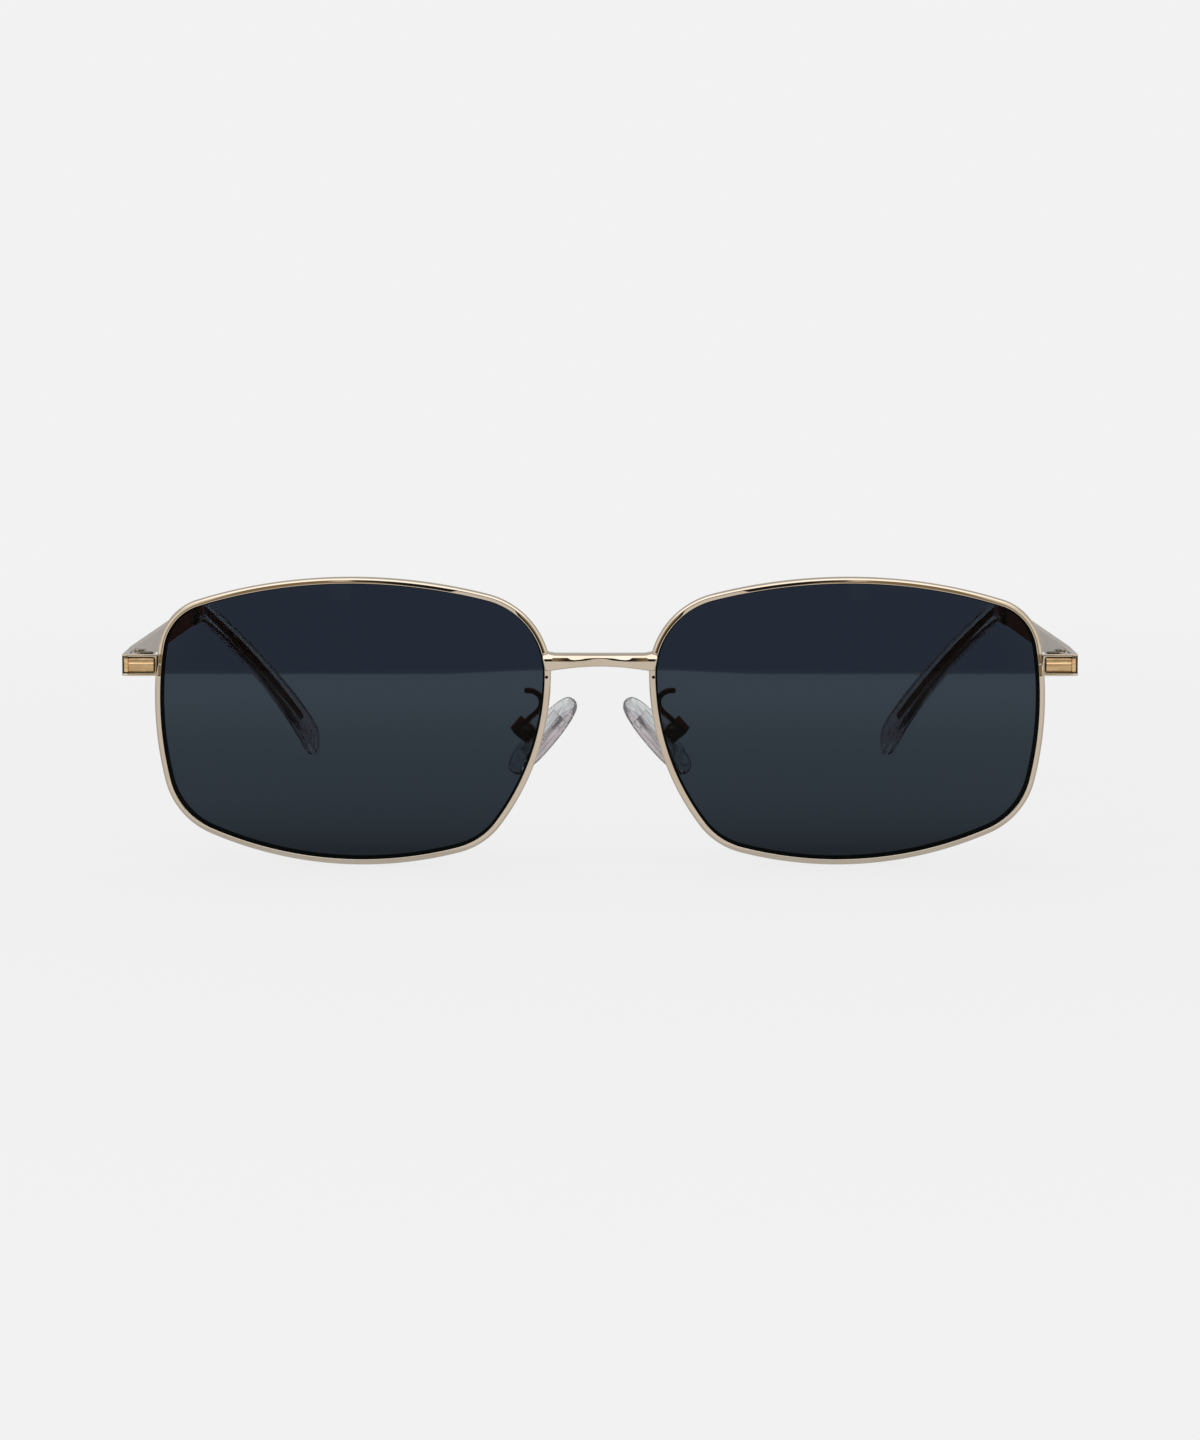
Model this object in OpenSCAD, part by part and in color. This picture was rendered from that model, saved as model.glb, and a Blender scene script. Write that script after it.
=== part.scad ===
// Sunglasses with full metal rims, a bar bridge, screw-closed rims, three-barrel hinges,
// flat metal temples with clear tips over core wires, and rocking nose pads.
// The wearer looks along -Y, +X is the wearer's left, +Z is up.
// The glasses stand open on the bottoms of both rims and on the ends of both tips.

/* [Lenses] */
// Boxed width of a lens, bevel included
lens_w = 60; // [52:0.5:64]
// Boxed height of a lens, bevel included
lens_h = 44; // [38:0.5:48]
// Distance between the two lenses over the nose
lens_gap = 16; // [14:0.5:20]
// Radius of the lens front surface
lens_r = 130; // [100:5:180]
// Thickness of a lens
lens_t = 2; // [1.8:0.1:2.4]
// Radius of the outline along the top
top_r = 75; // [60:1:110]
// Radius of the outline along the nose
nasal_r = 39; // [34:1:60]
// Radius of the outline along the bottom
bottom_r = 62; // [50:1:100]
// Radius of the outline along the temple side
temporal_r = 56; // [46:1:100]
// Corner radius between the top and the nose
top_nasal_r = 11.8; // [8:0.2:14]
// Corner radius between the bottom and the nose
bottom_nasal_r = 10.4; // [8:0.2:13]
// Corner radius between the bottom and the temple side
bottom_temporal_r = 10.2; // [8:0.2:13]
// Corner radius between the top and the temple side
top_temporal_r = 8.4; // [6:0.2:11]
// Where the top reaches highest, outwards from the middle of the lens
top_at = -1.4; // [-4:0.2:4]
// Where the nose side reaches furthest in, upwards from the middle of the lens
nasal_at = 7.6; // [4:0.2:9]
// Where the bottom reaches lowest, outwards from the middle of the lens
bottom_at = -0.4; // [-4:0.2:4]
// Where the temple side reaches furthest out, upwards from the middle of the lens
temporal_at = 2.2; // [0:0.2:5]
// Backward sweep of each lens towards its temple, in degrees
wrap = 5; // [2:0.5:8]
// Forward lean of the top of each lens, in degrees
tilt = 6; // [3:0.5:9]

/* [Rims] */
// Width of a rim seen from the front
rim_w = 1; // [0.9:0.05:1.4]
// Depth of a rim, front to back
rim_d = 2.2; // [2:0.1:2.6]
// How far the rim stands in front of the lens
rim_proud = 0.2; // [0.1:0.05:0.4]
// Radius of the rim's outer edges
rim_edge = 0.35; // [0.2:0.05:0.45]
// Depth of the groove that holds the lens
groove_h = 0.6; // [0.4:0.05:0.7]
// Half of the groove's width at its mouth
groove_half = 0.5; // [0.4:0.05:0.6]
// Width of the cut that lets the rim open
split_gap = 0.24; // [0.1:0.02:0.4]

/* [Bridge] */
// Height of the bridge above the middle of the lens
bridge_up = 9.9; // [7:0.1:12]
// Height of the bar at its middle
bridge_h = 1.95; // [1.6:0.05:3]
// Extra height of the bar at each end, below the middle
bridge_arch = 0.7; // [0.2:0.05:1.2]
// Height of the bar's front ridge above its middle
bridge_ridge = 0.26; // [0.1:0.02:0.4]
// Lean of the upper face, from the ridge back to the top
bridge_lean = 0.4; // [0:0.05:0.45]
// Height of the narrow strip below the ridge, at the bar's middle
bridge_strip = 0.27; // [0.1:0.01:0.4]
// Height of that strip at the bar's ends
bridge_strip_end = 0.72; // [0.3:0.02:0.8]
// Height of the small fillets where the bar's top runs up into the rims
bridge_web = 0.34; // [0:0.02:0.5]
// Depth of the bar at its middle
bridge_d = 2.3; // [1.8:0.1:3]
// Depth of each end where it laps over the rim
lap_d = 0.9; // [0.6:0.1:1.3]
// Forward bow of the bar's middle
bridge_bow = 0.5; // [0:0.1:1]

/* [End pieces] */
// Height of the end pieces and temples
bar_h = 3.3; // [3:0.1:4]
// Height of the end pieces above the middle of the lens
end_up = 8.5; // [7:0.1:9.6]
// Width of an end piece's front face
end_w = 5.6; // [5.2:0.1:7]
// Thickness of an end piece's front wall
end_t = 1.4; // [1.2:0.1:1.8]
// Width of the slanted facet at the outer corner
facet_w = 1; // [0.6:0.1:1.3]
// Setback of that facet
facet_d = 0.5; // [0.3:0.1:0.8]
// How far an end piece laps over the outer edge of its rim
end_lap = 0.55; // [0.3:0.05:0.6]
// Thickness of that lap
lap_t = 0.65; // [0.5:0.05:0.7]
// Slit between the lap and the rest of the rim
slit = 0.4; // [0.2:0.05:0.45]
// Margin round the plate let into the front face
plate_margin = 0.4; // [0.3:0.05:0.6]
// Thickness of that plate
plate_t = 0.35; // [0.25:0.05:0.5]
// How far the plate stands proud of the face
plate_proud = 0.06; // [0.03:0.01:0.1]

/* [Closing blocks] */
// Width of the blocks beside the rim
block_w = 2.6; // [2.4:0.1:2.9]
// Depth of the blocks
block_d = 2.6; // [2.4:0.1:3.2]
// Radius of the closing screw's shank
close_r = 0.7; // [0.5:0.05:0.8]

/* [Hinges] */
// Distance of the hinge pin behind the end piece's front face
hinge_back = 7; // [6.6:0.1:9]
// Radius of the hinge barrels
barrel_r = 1.15; // [1.05:0.05:1.4]
// Height of the middle barrel
middle_h = 1.24; // [1:0.02:1.5]
// Radius of the hinge screw's shank
pin_r = 0.6; // [0.5:0.05:0.7]
// Thickness of the hinge leaves
leaf_t = 0.8; // [0.6:0.05:1]
// Length of the leaf on the temple
leaf_len = 4.6; // [3.5:0.1:7]
// Height of a screw head
head_h = 0.35; // [0.25:0.05:0.5]
// Rim of a screw head outside its shank
head_rim = 0.32; // [0.25:0.01:0.4]
// Width of a screw slot
slot_w = 0.28; // [0.2:0.02:0.4]

/* [Temples] */
// Thickness of a temple
temple_t = 0.95; // [0.8:0.05:1.2]
// Length of a temple's metal, from its front end
temple_len = 75.5; // [60:0.5:90]
// Straight run of a temple before it turns inwards
temple_straight = 6; // [5.5:0.5:12]
// Inward turn of a temple, in degrees
temple_in = 2.5; // [0:0.5:4]

/* [Tips] */
// Straight sleeve of a tip behind the temple's metal
sleeve_len = 10; // [6:0.5:16]
// Length of a tip's curve, front to back
tip_len = 45; // [38:0.5:50]
// Inward reach of a tip's end from its sleeve
tip_in = 16.9; // [10:0.1:18]
// Height of a tip at its sleeve
tip_h = 3.5; // [3.4:0.1:4.4]
// Thickness of a tip at its sleeve
tip_t = 2.2; // [2:0.1:3.2]
// Height that a tip loses halfway along its curve
tip_waist = 0.6; // [0:0.1:0.8]
// Height of a tip near its end
tip_end_h = 5.2; // [4:0.1:5.6]
// Thickness of a tip near its end
tip_end_t = 2.8; // [2.2:0.1:3.6]
// Radius of the core wire
core_r = 0.65; // [0.5:0.05:0.8]
// Share of a tip's curve that the core wire reaches
core_reach = 0.8; // [0.6:0.02:0.88]

/* [Nose pads] */
// Length of a nose pad
pad_len = 14.6; // [12:0.2:16]
// Width of a nose pad, front to back
pad_w = 7.2; // [7:0.2:9]
// Thickness of a nose pad
pad_t = 2.5; // [2.3:0.1:3]
// Distance of a pad's middle from the middle of the bridge
pad_out = 8.6; // [8.2:0.1:10.5]
// Distance of a pad's middle below the middle of the lens
pad_down = 2.7; // [1:0.1:4]
// Distance of a pad's middle behind the middle of the lens
pad_back = 8.4; // [8:0.1:11]
// Outward slant of a pad's lower end, in degrees
pad_frontal = 41; // [30:1:45]
// Outward turn of a pad's rear edge, in degrees
pad_splay = 20; // [10:1:30]
// Distance of the pad's rocking axis from its middle plane
pad_axis = 3.4; // [3.2:0.1:4]
// Distance of the rocking axis below the pad's middle, along the pad
pad_low = 1.1; // [0:0.1:2]
// Height of a pad arm's foot on the rim above the middle of the lens
arm_up = 3.3; // [2:0.1:5]
// Side of the pad box
box_w = 2.5; // [2.3:0.1:3]
// Depth of the pad box along its screw
box_d = 3; // [2.8:0.1:3.6]
// Wall of the pad box
box_wall = 0.35; // [0.3:0.05:0.4]
// Thickness of the pad's tab inside the box
tab_t = 1.2; // [1:0.05:1.4]
// Radius of the pad screw
pad_screw_r = 0.4; // [0.3:0.05:0.45]
// Radius of the wire of a pad arm
arm_r = 0.5; // [0.4:0.05:0.6]

/* [Clearances] */
// Gap of brazed and seated faces
seat = 0.03; // [0.02:0.01:0.05]
// Running gap of screws in turning barrels
running = 0.05; // [0.03:0.01:0.08]
// Gap between a lens and its groove
lens_fit = 0.08; // [0.05:0.01:0.12]

/* [Hidden] */
$fn = 48;

gold = [0.86, 0.79, 0.66];
deep_gold = [0.85, 0.66, 0.38];
steel = [0.62, 0.6, 0.57];
smoke = [0.16, 0.19, 0.22];
clear = [0.8, 0.82, 0.83];

// The opening of a rim is a chain of eight arcs that run into each other: four long
// sides and four corners. Each arc is [centre u, centre v, radius].
half_w = lens_w / 2 - groove_h;
half_h = lens_h / 2 - groove_h;
function flat(arc) = [arc[0], arc[1]];
function side_arc(at, angle, r) = concat(at - r * [cos(angle), sin(angle)], [r]);
sides = [
    side_arc([top_at, half_h], 90, top_r),
    side_arc([-half_w, nasal_at], 180, nasal_r),
    side_arc([bottom_at, -half_h], 270, bottom_r),
    side_arc([half_w, temporal_at], 0, temporal_r)];
corners = [top_nasal_r, bottom_nasal_r, bottom_temporal_r, top_temporal_r];

// A corner arc touches both of its sides from inside, so its centre lies at the
// distances (side radius - corner radius) from the two side centres.
function corner_arc(i) =
    let (p = sides[i], q = sides[(i + 1) % 4], r = corners[i])
    let (a = p[2] - r, b = q[2] - r, span = flat(q) - flat(p), reach = norm(span))
    let (along = (a * a - b * b + reach * reach) / (2 * reach), e = span / reach)
    let (off = sqrt(max(0, a * a - along * along)))
    concat(flat(p) + along * e + off * [-e[1], e[0]], [r]);
chain = [for (i = [0:3]) each [sides[i], corner_arc(i)]];

function heading(p, q) = atan2(q[1] - p[1], q[0] - p[0]);
function joint_angle(k) =
    let (a = chain[k], b = chain[(k + 1) % 8])
    k % 2 == 0 ? heading(a, b) : heading(b, a);
function turn(a) = a - 360 * floor(a / 360);

// Stations along the outline: [centre u, centre v, radius, angle of the outward normal]
station_step = 2.6;
station_turn = 10;
stations = [for (k = [0:7])
    let (arc = chain[k], from = joint_angle((k + 7) % 8), sweep = turn(joint_angle(k) - from))
    let (n = max(3, ceil(sweep * PI / 180 * arc[2] / station_step), ceil(sweep / station_turn)))
    for (j = [0:n - 1]) [arc[0], arc[1], arc[2], from + sweep * j / n]];
function edge(st, out) = [st[0] + (st[2] + out) * cos(st[3]), st[1] + (st[2] + out) * sin(st[3])];

// A point of the lens unit, at [u, v] on the front sphere and d behind it
function on_shell(p, d) =
    let (sag = lens_r - sqrt(lens_r * lens_r - p[0] * p[0] - p[1] * p[1]), q = [p[0], sag, p[1]])
    q + d / lens_r * ([0, lens_r, 0] - q);

// The lens unit is swept back by wrap and leant forward by tilt, then put in its place.
function turned(q) =
    let (x = q[0] * cos(wrap) - q[1] * sin(wrap), y = q[0] * sin(wrap) + q[1] * cos(wrap))
    [x, y * cos(tilt) - q[2] * sin(tilt), y * sin(tilt) + q[2] * cos(tilt)];
groove_at = lens_t / 2;
lens_x = lens_gap / 2
    - min([for (s = stations) turned(on_shell(edge(s, groove_h - lens_fit), groove_at))[0]]);
rim_front = -rim_proud;
rim_back = rim_d - rim_proud;
lens_z = -min([for (s = stations, d = [rim_front + rim_edge, rim_back - rim_edge])
    turned(on_shell(edge(s, rim_w), d))[2]]);
function place(q) = turned(q) + [lens_x, 0, lens_z];

// The point of the rim at height z, on its nose side or its temple side
function rim_at(z, out, d, nasal) =
    let (line = [for (s = stations) if ((cos(s[3]) < 0) == nasal) place(on_shell(edge(s, out), d))])
    [lookup(z, [for (p = line) [p[2], p[0]]]), lookup(z, [for (p = line) [p[2], p[1]]]), z];

// Places of the end piece, its closing blocks and the hinge
end_z = lens_z + end_up;
end_lo = end_z - bar_h / 2;
end_hi = end_z + bar_h / 2;
rim_side = rim_at(end_z, rim_w, rim_front, false);
rim_far_x = max([for (z = [end_lo, end_z, end_hi], d = [rim_front, rim_back])
    rim_at(z, rim_w, d, false)[0]]);
end_front = rim_side[1] - 0.25;
end_in_lo = rim_at(end_lo, rim_w, rim_front, false)[0] - end_lap;
end_in_hi = rim_at(end_hi, rim_w, rim_front, false)[0] - end_lap;
end_in_min = min(end_in_lo, end_in_hi);
end_out = rim_side[0] - end_lap + end_w;
lap_y = end_front + lap_t;
inner_fillet = 0.5;
arm_in = end_out - temple_t;
hinge_x = arm_in - seat - barrel_r;
hinge_y = end_front + hinge_back;
butt_y = hinge_y - 0.4;
leaf_y = hinge_y - barrel_r - 0.1;
wall_back = end_front + end_t;
block_front = wall_back + seat;
block_in = rim_far_x + seat;
block_out = block_in + block_w;
close_x = (block_in + block_out) / 2;
close_y = block_front + block_d / 2;
head_sink = 0.25;

// Places of the temple, its tip and the core wire
temple_front = butt_y + 0.05;
turn_y = temple_front + temple_straight;
metal_end = temple_front + temple_len;
metal_mid_x = end_out - temple_t / 2 - tan(temple_in) * (metal_end - turn_y);
bend_start = [metal_mid_x - tan(temple_in) * sleeve_len, metal_end + sleeve_len, end_z];

// Centre line of a tip: its straight sleeve, then one curve down and inwards
tip_lead = 0.163 * tip_len;
tip_heel = [0.09 * tip_in, -0.465 * tip_len, 0.385];
function tip_ends(low) =
    let (drop = low - end_z, last = bend_start + [-tip_in, tip_len, drop])
    [bend_start, bend_start + tip_lead * [-tan(temple_in), 1, 0],
     last + [tip_heel[0], tip_heel[1], -drop * tip_heel[2]], last];
function curve(p, t) =
    pow(1 - t, 3) * p[0] + 3 * t * pow(1 - t, 2) * p[1] + 3 * t * t * (1 - t) * p[2] + t * t * t * p[3];
function slope(p, t) =
    pow(1 - t, 2) * (p[1] - p[0]) + 2 * t * (1 - t) * (p[2] - p[1]) + t * t * (p[3] - p[2]);
function unit(v) = v / norm(v);

// A ring of a sweep: the flat shape stands square to the way the line runs
function ring(at, way, shape) =
    let (w = unit(way), side = unit(cross(w, [0, 0, 1])), up = cross(side, w))
    [for (s = shape) at + s[0] * side + s[1] * up];
function oval(w, h, n, power) = [for (i = [0:n - 1])
    let (a = 360 * i / n, c = cos(a), s = sin(a))
    [w / 2 * sign(c) * pow(abs(c), power), h / 2 * sign(s) * pow(abs(s), power)]];
tip_sides = 12;
tip_steps = 15;
round_from = 0.88;
round_rings = 4;
bluntness = 2.6;
function tip_size(t) =
    [tip_t + (tip_end_t - tip_t) * t * t, tip_h + (tip_end_h - tip_h) * t * t - 4 * tip_waist * t * (1 - t)];
function tip_rings(low) =
    let (p = tip_ends(low), back = p[1] - p[0])
    concat(
        [for (k = [0, 1]) let (q = bend_start - (1 - k) * (sleeve_len - seat) * unit(back))
            ring(q, back, oval(tip_t, tip_h, tip_sides, 0.7))],
        [for (i = [1:tip_steps]) let (t = round_from * i / tip_steps, s = tip_size(t))
            ring(curve(p, t), slope(p, t), oval(s[0], s[1], tip_sides, 0.7))],
        [for (i = [1:round_rings])
            let (part = sin(88 * i / round_rings), t = round_from + (1 - round_from) * part)
            let (s = tip_size(t) * pow(1 - pow(part, bluntness), 1 / bluntness))
            ring(curve(p, t), slope(p, t), oval(s[0], s[1], tip_sides, 0.7))]);
function lowest(rings) = min([for (r = rings, q = r) q[2]]);
tip_guess = tip_end_h / 2;
tip_low = tip_guess - lowest(tip_rings(tip_guess));
tip_path = tip_ends(tip_low);
core_steps = 14;
function core_rings(r, before) =
    let (back = tip_path[1] - tip_path[0], dot = oval(2 * r, 2 * r, 8, 1))
    concat(
        [ring(bend_start - (sleeve_len - before) * unit(back), back, dot), ring(bend_start, back, dot)],
        [for (i = [1:core_steps]) let (t = core_reach * i / core_steps + (r - core_r) * 0.02)
            ring(curve(tip_path, t), slope(tip_path, t), dot)]);

// The bridge: a bar between the rims whose ends lap over their fronts
bridge_z = lens_z + bridge_up;
bridge_low = bridge_z - bridge_h / 2 - bridge_arch;
bridge_high = bridge_z + bridge_h / 2;
lap_z = [bridge_low, (bridge_low + bridge_high) / 2, bridge_high + bridge_web];
bar_end = min([for (z = lap_z, d = [rim_front, rim_back]) rim_at(z, rim_w, d, true)[0]]) - seat;
lap_back = min([for (z = lap_z, o = [0, rim_w]) rim_at(z, o, rim_front, true)[1]]) - seat;
lap_end = rim_at(bridge_z, 0, rim_front, true)[0] + 0.05;
bridge_front = lap_back - lap_d;
bridge_edge = min(0.3 * lap_d, (lap_d - bridge_lean) / 1.8);
bridge_tuck = 0.22 * lap_d;
bridge_round = [0.33 * lap_d, 0.27];
bridge_steps = 12;
web_at = bar_end + 0.4;
web_reach = 1.1;
bridge_spans = concat(
    [for (i = [0:bridge_steps]) let (t = i / bridge_steps)
        [bar_end * t, bridge_d + bridge_bow * (1 - t * t) / 2, 1]],
    [[bar_end + 0.02, lap_d, 1], [web_at, lap_d, 1], [lap_end - 0.3, lap_d, 1],
     [lap_end - 0.1, lap_d, 0.98], [lap_end, lap_d, 0.9]]);
bridge_line = concat([for (i = [len(bridge_spans) - 1:-1:1]) bridge_spans[i]],
    [for (q = bridge_spans) [-q[0], q[1], q[2]]]);
function bridge_ring(span) =
    let (x = abs(span[0]), deep = span[1], k = span[2], part = min(1, x / bar_end))
    let (front = bridge_front - bridge_bow * (1 - part * part) + (1 - k) * lap_d)
    let (web = bridge_web * pow(max(0, 1 - abs(x - web_at) / web_reach), 2))
    let (up = bridge_h / 2 + web, down = bridge_h / 2 + bridge_arch * part * part)
    let (foot = bridge_ridge - bridge_strip - (bridge_strip_end - bridge_strip) * part * part)
    [for (q = concat(
            [[bridge_lean + 0.05, up], [bridge_lean, up - 0.05], [bridge_lean * 0.07, bridge_ridge + 0.05]],
            [[0, bridge_ridge - 0.03], [0, foot + 0.04], [0.03, foot - 0.04]],
            [for (a = [0:30:90]) [bridge_tuck + bridge_round[0] * (1 - cos(a)),
                                  -down + bridge_round[1] * (1 - sin(a))]],
            [[deep - bridge_edge, -down], [deep, -down + bridge_edge]],
            [[deep, up - bridge_edge], [deep - bridge_edge, up]]))
        [span[0], front + k * q[0], bridge_z + k * q[1]]];

// Frame of a nose pad: x' away from the nose, y' to the back, z' up along the pad
pad_at = [pad_out, pad_back, lens_z - pad_down];
module pad_place() {
    translate(pad_at) rotate([0, -pad_frontal, 0]) rotate([0, 0, -pad_splay]) children();
}
function pad_point(q) =
    let (x = q[0] * cos(pad_splay) + q[1] * sin(pad_splay))
    let (y = -q[0] * sin(pad_splay) + q[1] * cos(pad_splay))
    pad_at + [x * cos(pad_frontal) - q[2] * sin(pad_frontal), y,
              x * sin(pad_frontal) + q[2] * cos(pad_frontal)];
pad_up = -pad_low;
box_in = pad_t / 2 + 0.45;
box_out = pad_axis + box_w / 2;
tab_w = 1.4;
insert_len = 8;
insert_w = 4.4;
insert_t = 0.7;

// A pad arm is brazed to the back of its rim at its bulge, and ends in the pad box.
arm_root_z = lens_z + arm_up;
arm_root = rim_at(arm_root_z, 0, rim_back, true) + [0, arm_r + seat, 0];
arm_tail = arm_root + [2.4, 1.4, 1.5];
arm_foot = pad_point([box_out - arm_r - 0.25, 0, pad_up + box_w / 2 + seat]);
arm_end_way = 1.5 * [-sin(pad_frontal), 0, cos(pad_frontal)];
arm_down = [arm_root, arm_root + [-0.05, 0.5, -1.5], arm_foot + arm_end_way, arm_foot];
arm_hook = [arm_tail, arm_tail + [-1.1, -0.6, 0.25], arm_root + [0.05, -0.05, 1.2], arm_root];
function arm_rings() =
    let (dot = oval(2 * arm_r, 2 * arm_r, 8, 1))
    concat(
        [for (i = [0:5]) ring_about(curve(arm_hook, i / 6), slope(arm_hook, i / 6), dot)],
        [for (i = [0:10]) ring_about(curve(arm_down, i / 10), slope(arm_down, i / 10), dot)]);
function ring_about(at, way, shape) =
    let (w = unit(way), side = unit(cross(w, [0, 1, 0])), up = cross(side, w))
    [for (s = shape) at + s[0] * side + s[1] * up];

// The whole object is shifted so that the middle of its depth is the origin.
front_most = min(bridge_front - bridge_bow,
    min([for (s = stations, k = [0.4, 0.7, 1]) place(on_shell(k * edge(s, 0), rim_front))[1]]));
back_most = max([for (r = tip_rings(tip_low), q = r) q[1]]);
middle_y = (front_most + back_most) / 2;

module on_side(left) {
    translate([0, -middle_y, 0]) mirror([left ? 0 : 1, 0, 0]) children();
}
// Closed skin over a row of rings; an open row gets flat ends, a closed one joins up.
module skin(rings, closed = false) {
    n = len(rings[0]);
    rows = len(rings);
    last = closed ? rows - 1 : rows - 2;
    points = [for (r = rings, q = r) q];
    walls = [for (i = [0:last], j = [0:n - 1])
        let (a = i * n + j, b = i * n + (j + 1) % n, up = (i + 1) % rows * n)
        each [[a, b, up + (j + 1) % n], [a, up + (j + 1) % n, up + j]]];
    ends = closed ? [] : [[for (j = [n - 1:-1:0]) j], [for (j = [0:n - 1]) (rows - 1) * n + j]];
    polyhedron(points, concat(walls, ends), convexity = 10);
}
module slot(r) {
    translate([0, 0, head_h]) cube([3 * r, slot_w, head_h], center = true);
}
module slotted_screw(shank_r, shank_len) {
    difference() {
        union() {
            cylinder(r = shank_r + head_rim, h = head_h);
            translate([0, 0, -shank_len]) cylinder(r = shank_r, h = shank_len + 0.01);
        }
        slot(shank_r + head_rim);
    }
}

// A shape drawn from the front, [x, z], that runs from y = from to y = to
module front_prism(outline, from, to) {
    translate([0, to, 0]) rotate([90, 0, 0]) linear_extrude(to - from) polygon(outline);
}

module rim() {
    round_out = rim_w - rim_edge;
    section = [[0, groove_at - groove_half], [groove_h, groove_at], [0, groove_at + groove_half],
        [0, rim_back - 0.12], [0.1, rim_back], [round_out, rim_back],
        [rim_w - 0.3 * rim_edge, rim_back - 0.3 * rim_edge], [rim_w, rim_back - rim_edge],
        [rim_w, rim_front + rim_edge], [rim_w - 0.3 * rim_edge, rim_front + 0.3 * rim_edge],
        [round_out, rim_front], [0.1, rim_front], [0, rim_front + 0.12]];
    color(gold) difference() {
        skin([for (s = stations) [for (q = section) place(on_shell(edge(s, q[0]), q[1]))]], closed = true);
        translate([rim_side[0], rim_side[1], end_z]) cube([4 * rim_w, 5 * rim_d, split_gap], center = true);
        front_prism([[end_in_lo - slit, end_lo - seat], [end_out, end_lo - seat],
            [end_out, end_hi + seat], [end_in_hi - slit, end_hi + seat]], end_front - 1, lap_y + seat);
    }
}
// The lens: a curved disc with a bevelled edge that sits in the rim's groove
module lens() {
    shrink = [0.3, 0.6, 0.85];
    n = len(stations);
    front = [for (k = shrink) [for (s = stations) place(on_shell(k * edge(s, -lens_fit), 0))]];
    rear = [for (k = [0.85, 0.6, 0.3]) [for (s = stations) place(on_shell(k * edge(s, -lens_fit), lens_t))]];
    bevel = [for (q = [[0, 0], [0, groove_at - groove_half], [groove_h, groove_at],
                       [0, groove_at + groove_half], [0, lens_t]])
        [for (s = stations) place(on_shell(edge(s, q[0] - lens_fit), q[1]))]];
    color(smoke, 0.8) skin(concat(front, bevel, rear));
}
module bridge() {
    color(gold) translate([0, -middle_y, 0]) skin([for (s = bridge_line) bridge_ring(s)]);
}
module end_piece() {
    color(gold) difference() {
        intersection() {
            translate([0, 0, end_lo]) linear_extrude(bar_h) polygon([[end_in_min - 1, end_front],
                [end_out - facet_w, end_front], [end_out, end_front + facet_d], [end_out, butt_y],
                [arm_in, butt_y], [arm_in, wall_back + inner_fillet], [arm_in - inner_fillet, wall_back],
                [block_in, wall_back], [block_in, lap_y], [end_in_min - 1, lap_y]]);
            front_prism([[end_in_lo, end_lo], [end_out + 1, end_lo],
                [end_out + 1, end_hi], [end_in_hi, end_hi]], end_front - 1, butt_y + 1);
        }
        plate_shape(seat);
    }
}
// The plate follows the front face and its slanted facet.
module plate_shape(grow) {
    in = max(end_in_lo, end_in_hi) + plate_margin - grow;
    out = end_out - 0.2 + grow;
    fold = end_out - facet_w;
    fall = facet_d * (out - fold) / facet_w;
    face = end_front - plate_proud;
    deep = face + plate_t + grow;
    low = end_lo + plate_margin - grow;
    translate([0, 0, low]) linear_extrude(bar_h - 2 * plate_margin + 2 * grow)
        polygon([[in, face], [fold, face], [out, face + fall], [out, deep + fall], [fold, deep], [in, deep]]);
}
module end_plate() {
    color(deep_gold) plate_shape(0);
}
module closing_block(low, high, bore) {
    color(gold) difference() {
        translate([block_in, block_front, low]) cube([block_w, block_d, high - low]);
        translate([close_x, close_y, low - 1]) cylinder(r = bore, h = high - low + 2);
    }
}
module upper_closing_block() {
    closing_block(end_z + split_gap / 2, end_hi - head_sink, close_r + seat);
}
module lower_closing_block() {
    closing_block(end_lo, end_z - split_gap / 2, close_r + seat / 2);
}
module closing_screw() {
    color(steel) translate([close_x, close_y, end_hi - head_sink + seat])
        slotted_screw(close_r, bar_h - head_sink - 0.1);
}
// Two barrels with a gap between them for the temple's barrel
module front_hinge() {
    reach = arm_in - seat - hinge_x;
    wall = (bar_h - middle_h) / 2 - seat - head_sink;
    leaf_front = block_front + inner_fillet;
    color(gold) difference() {
        union() {
            translate([arm_in - seat - leaf_t, leaf_front, end_lo + head_sink])
                cube([leaf_t, leaf_y - leaf_front, bar_h - 2 * head_sink]);
            for (z = [end_lo + head_sink, end_z + middle_h / 2 + seat]) {
                translate([hinge_x, hinge_y, z]) cylinder(r = barrel_r, h = wall);
                translate([hinge_x, leaf_y - 0.2, z]) cube([reach, hinge_y - leaf_y + 0.2, wall]);
            }
        }
        translate([hinge_x, hinge_y, end_lo - 1]) cylinder(r = pin_r + seat / 2, h = bar_h + 2);
    }
}
module temple_hinge() {
    reach = arm_in - seat - hinge_x;
    gap = hinge_y + barrel_r + 0.1;
    low = end_z - middle_h / 2;
    color(gold) difference() {
        union() {
            translate([hinge_x, hinge_y, low]) cylinder(r = barrel_r, h = middle_h);
            translate([hinge_x, hinge_y, low]) cube([reach, gap - hinge_y + 0.2, middle_h]);
            translate([arm_in - seat - leaf_t, gap, end_lo + head_sink])
                cube([leaf_t, leaf_len, bar_h - 2 * head_sink]);
        }
        translate([hinge_x, hinge_y, low - 1]) cylinder(r = pin_r + running, h = middle_h + 2);
    }
}
module hinge_screw() {
    color(steel) translate([hinge_x, hinge_y, end_hi - head_sink + seat])
        slotted_screw(pin_r, bar_h - 2 * head_sink);
}
module temple() {
    slant = tan(temple_in) * (metal_end - turn_y);
    color(gold) translate([0, 0, end_lo]) linear_extrude(bar_h) polygon([
        [arm_in, temple_front], [end_out, temple_front], [end_out, turn_y],
        [end_out - slant, metal_end], [arm_in - slant, metal_end], [arm_in, turn_y]]);
}
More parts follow.
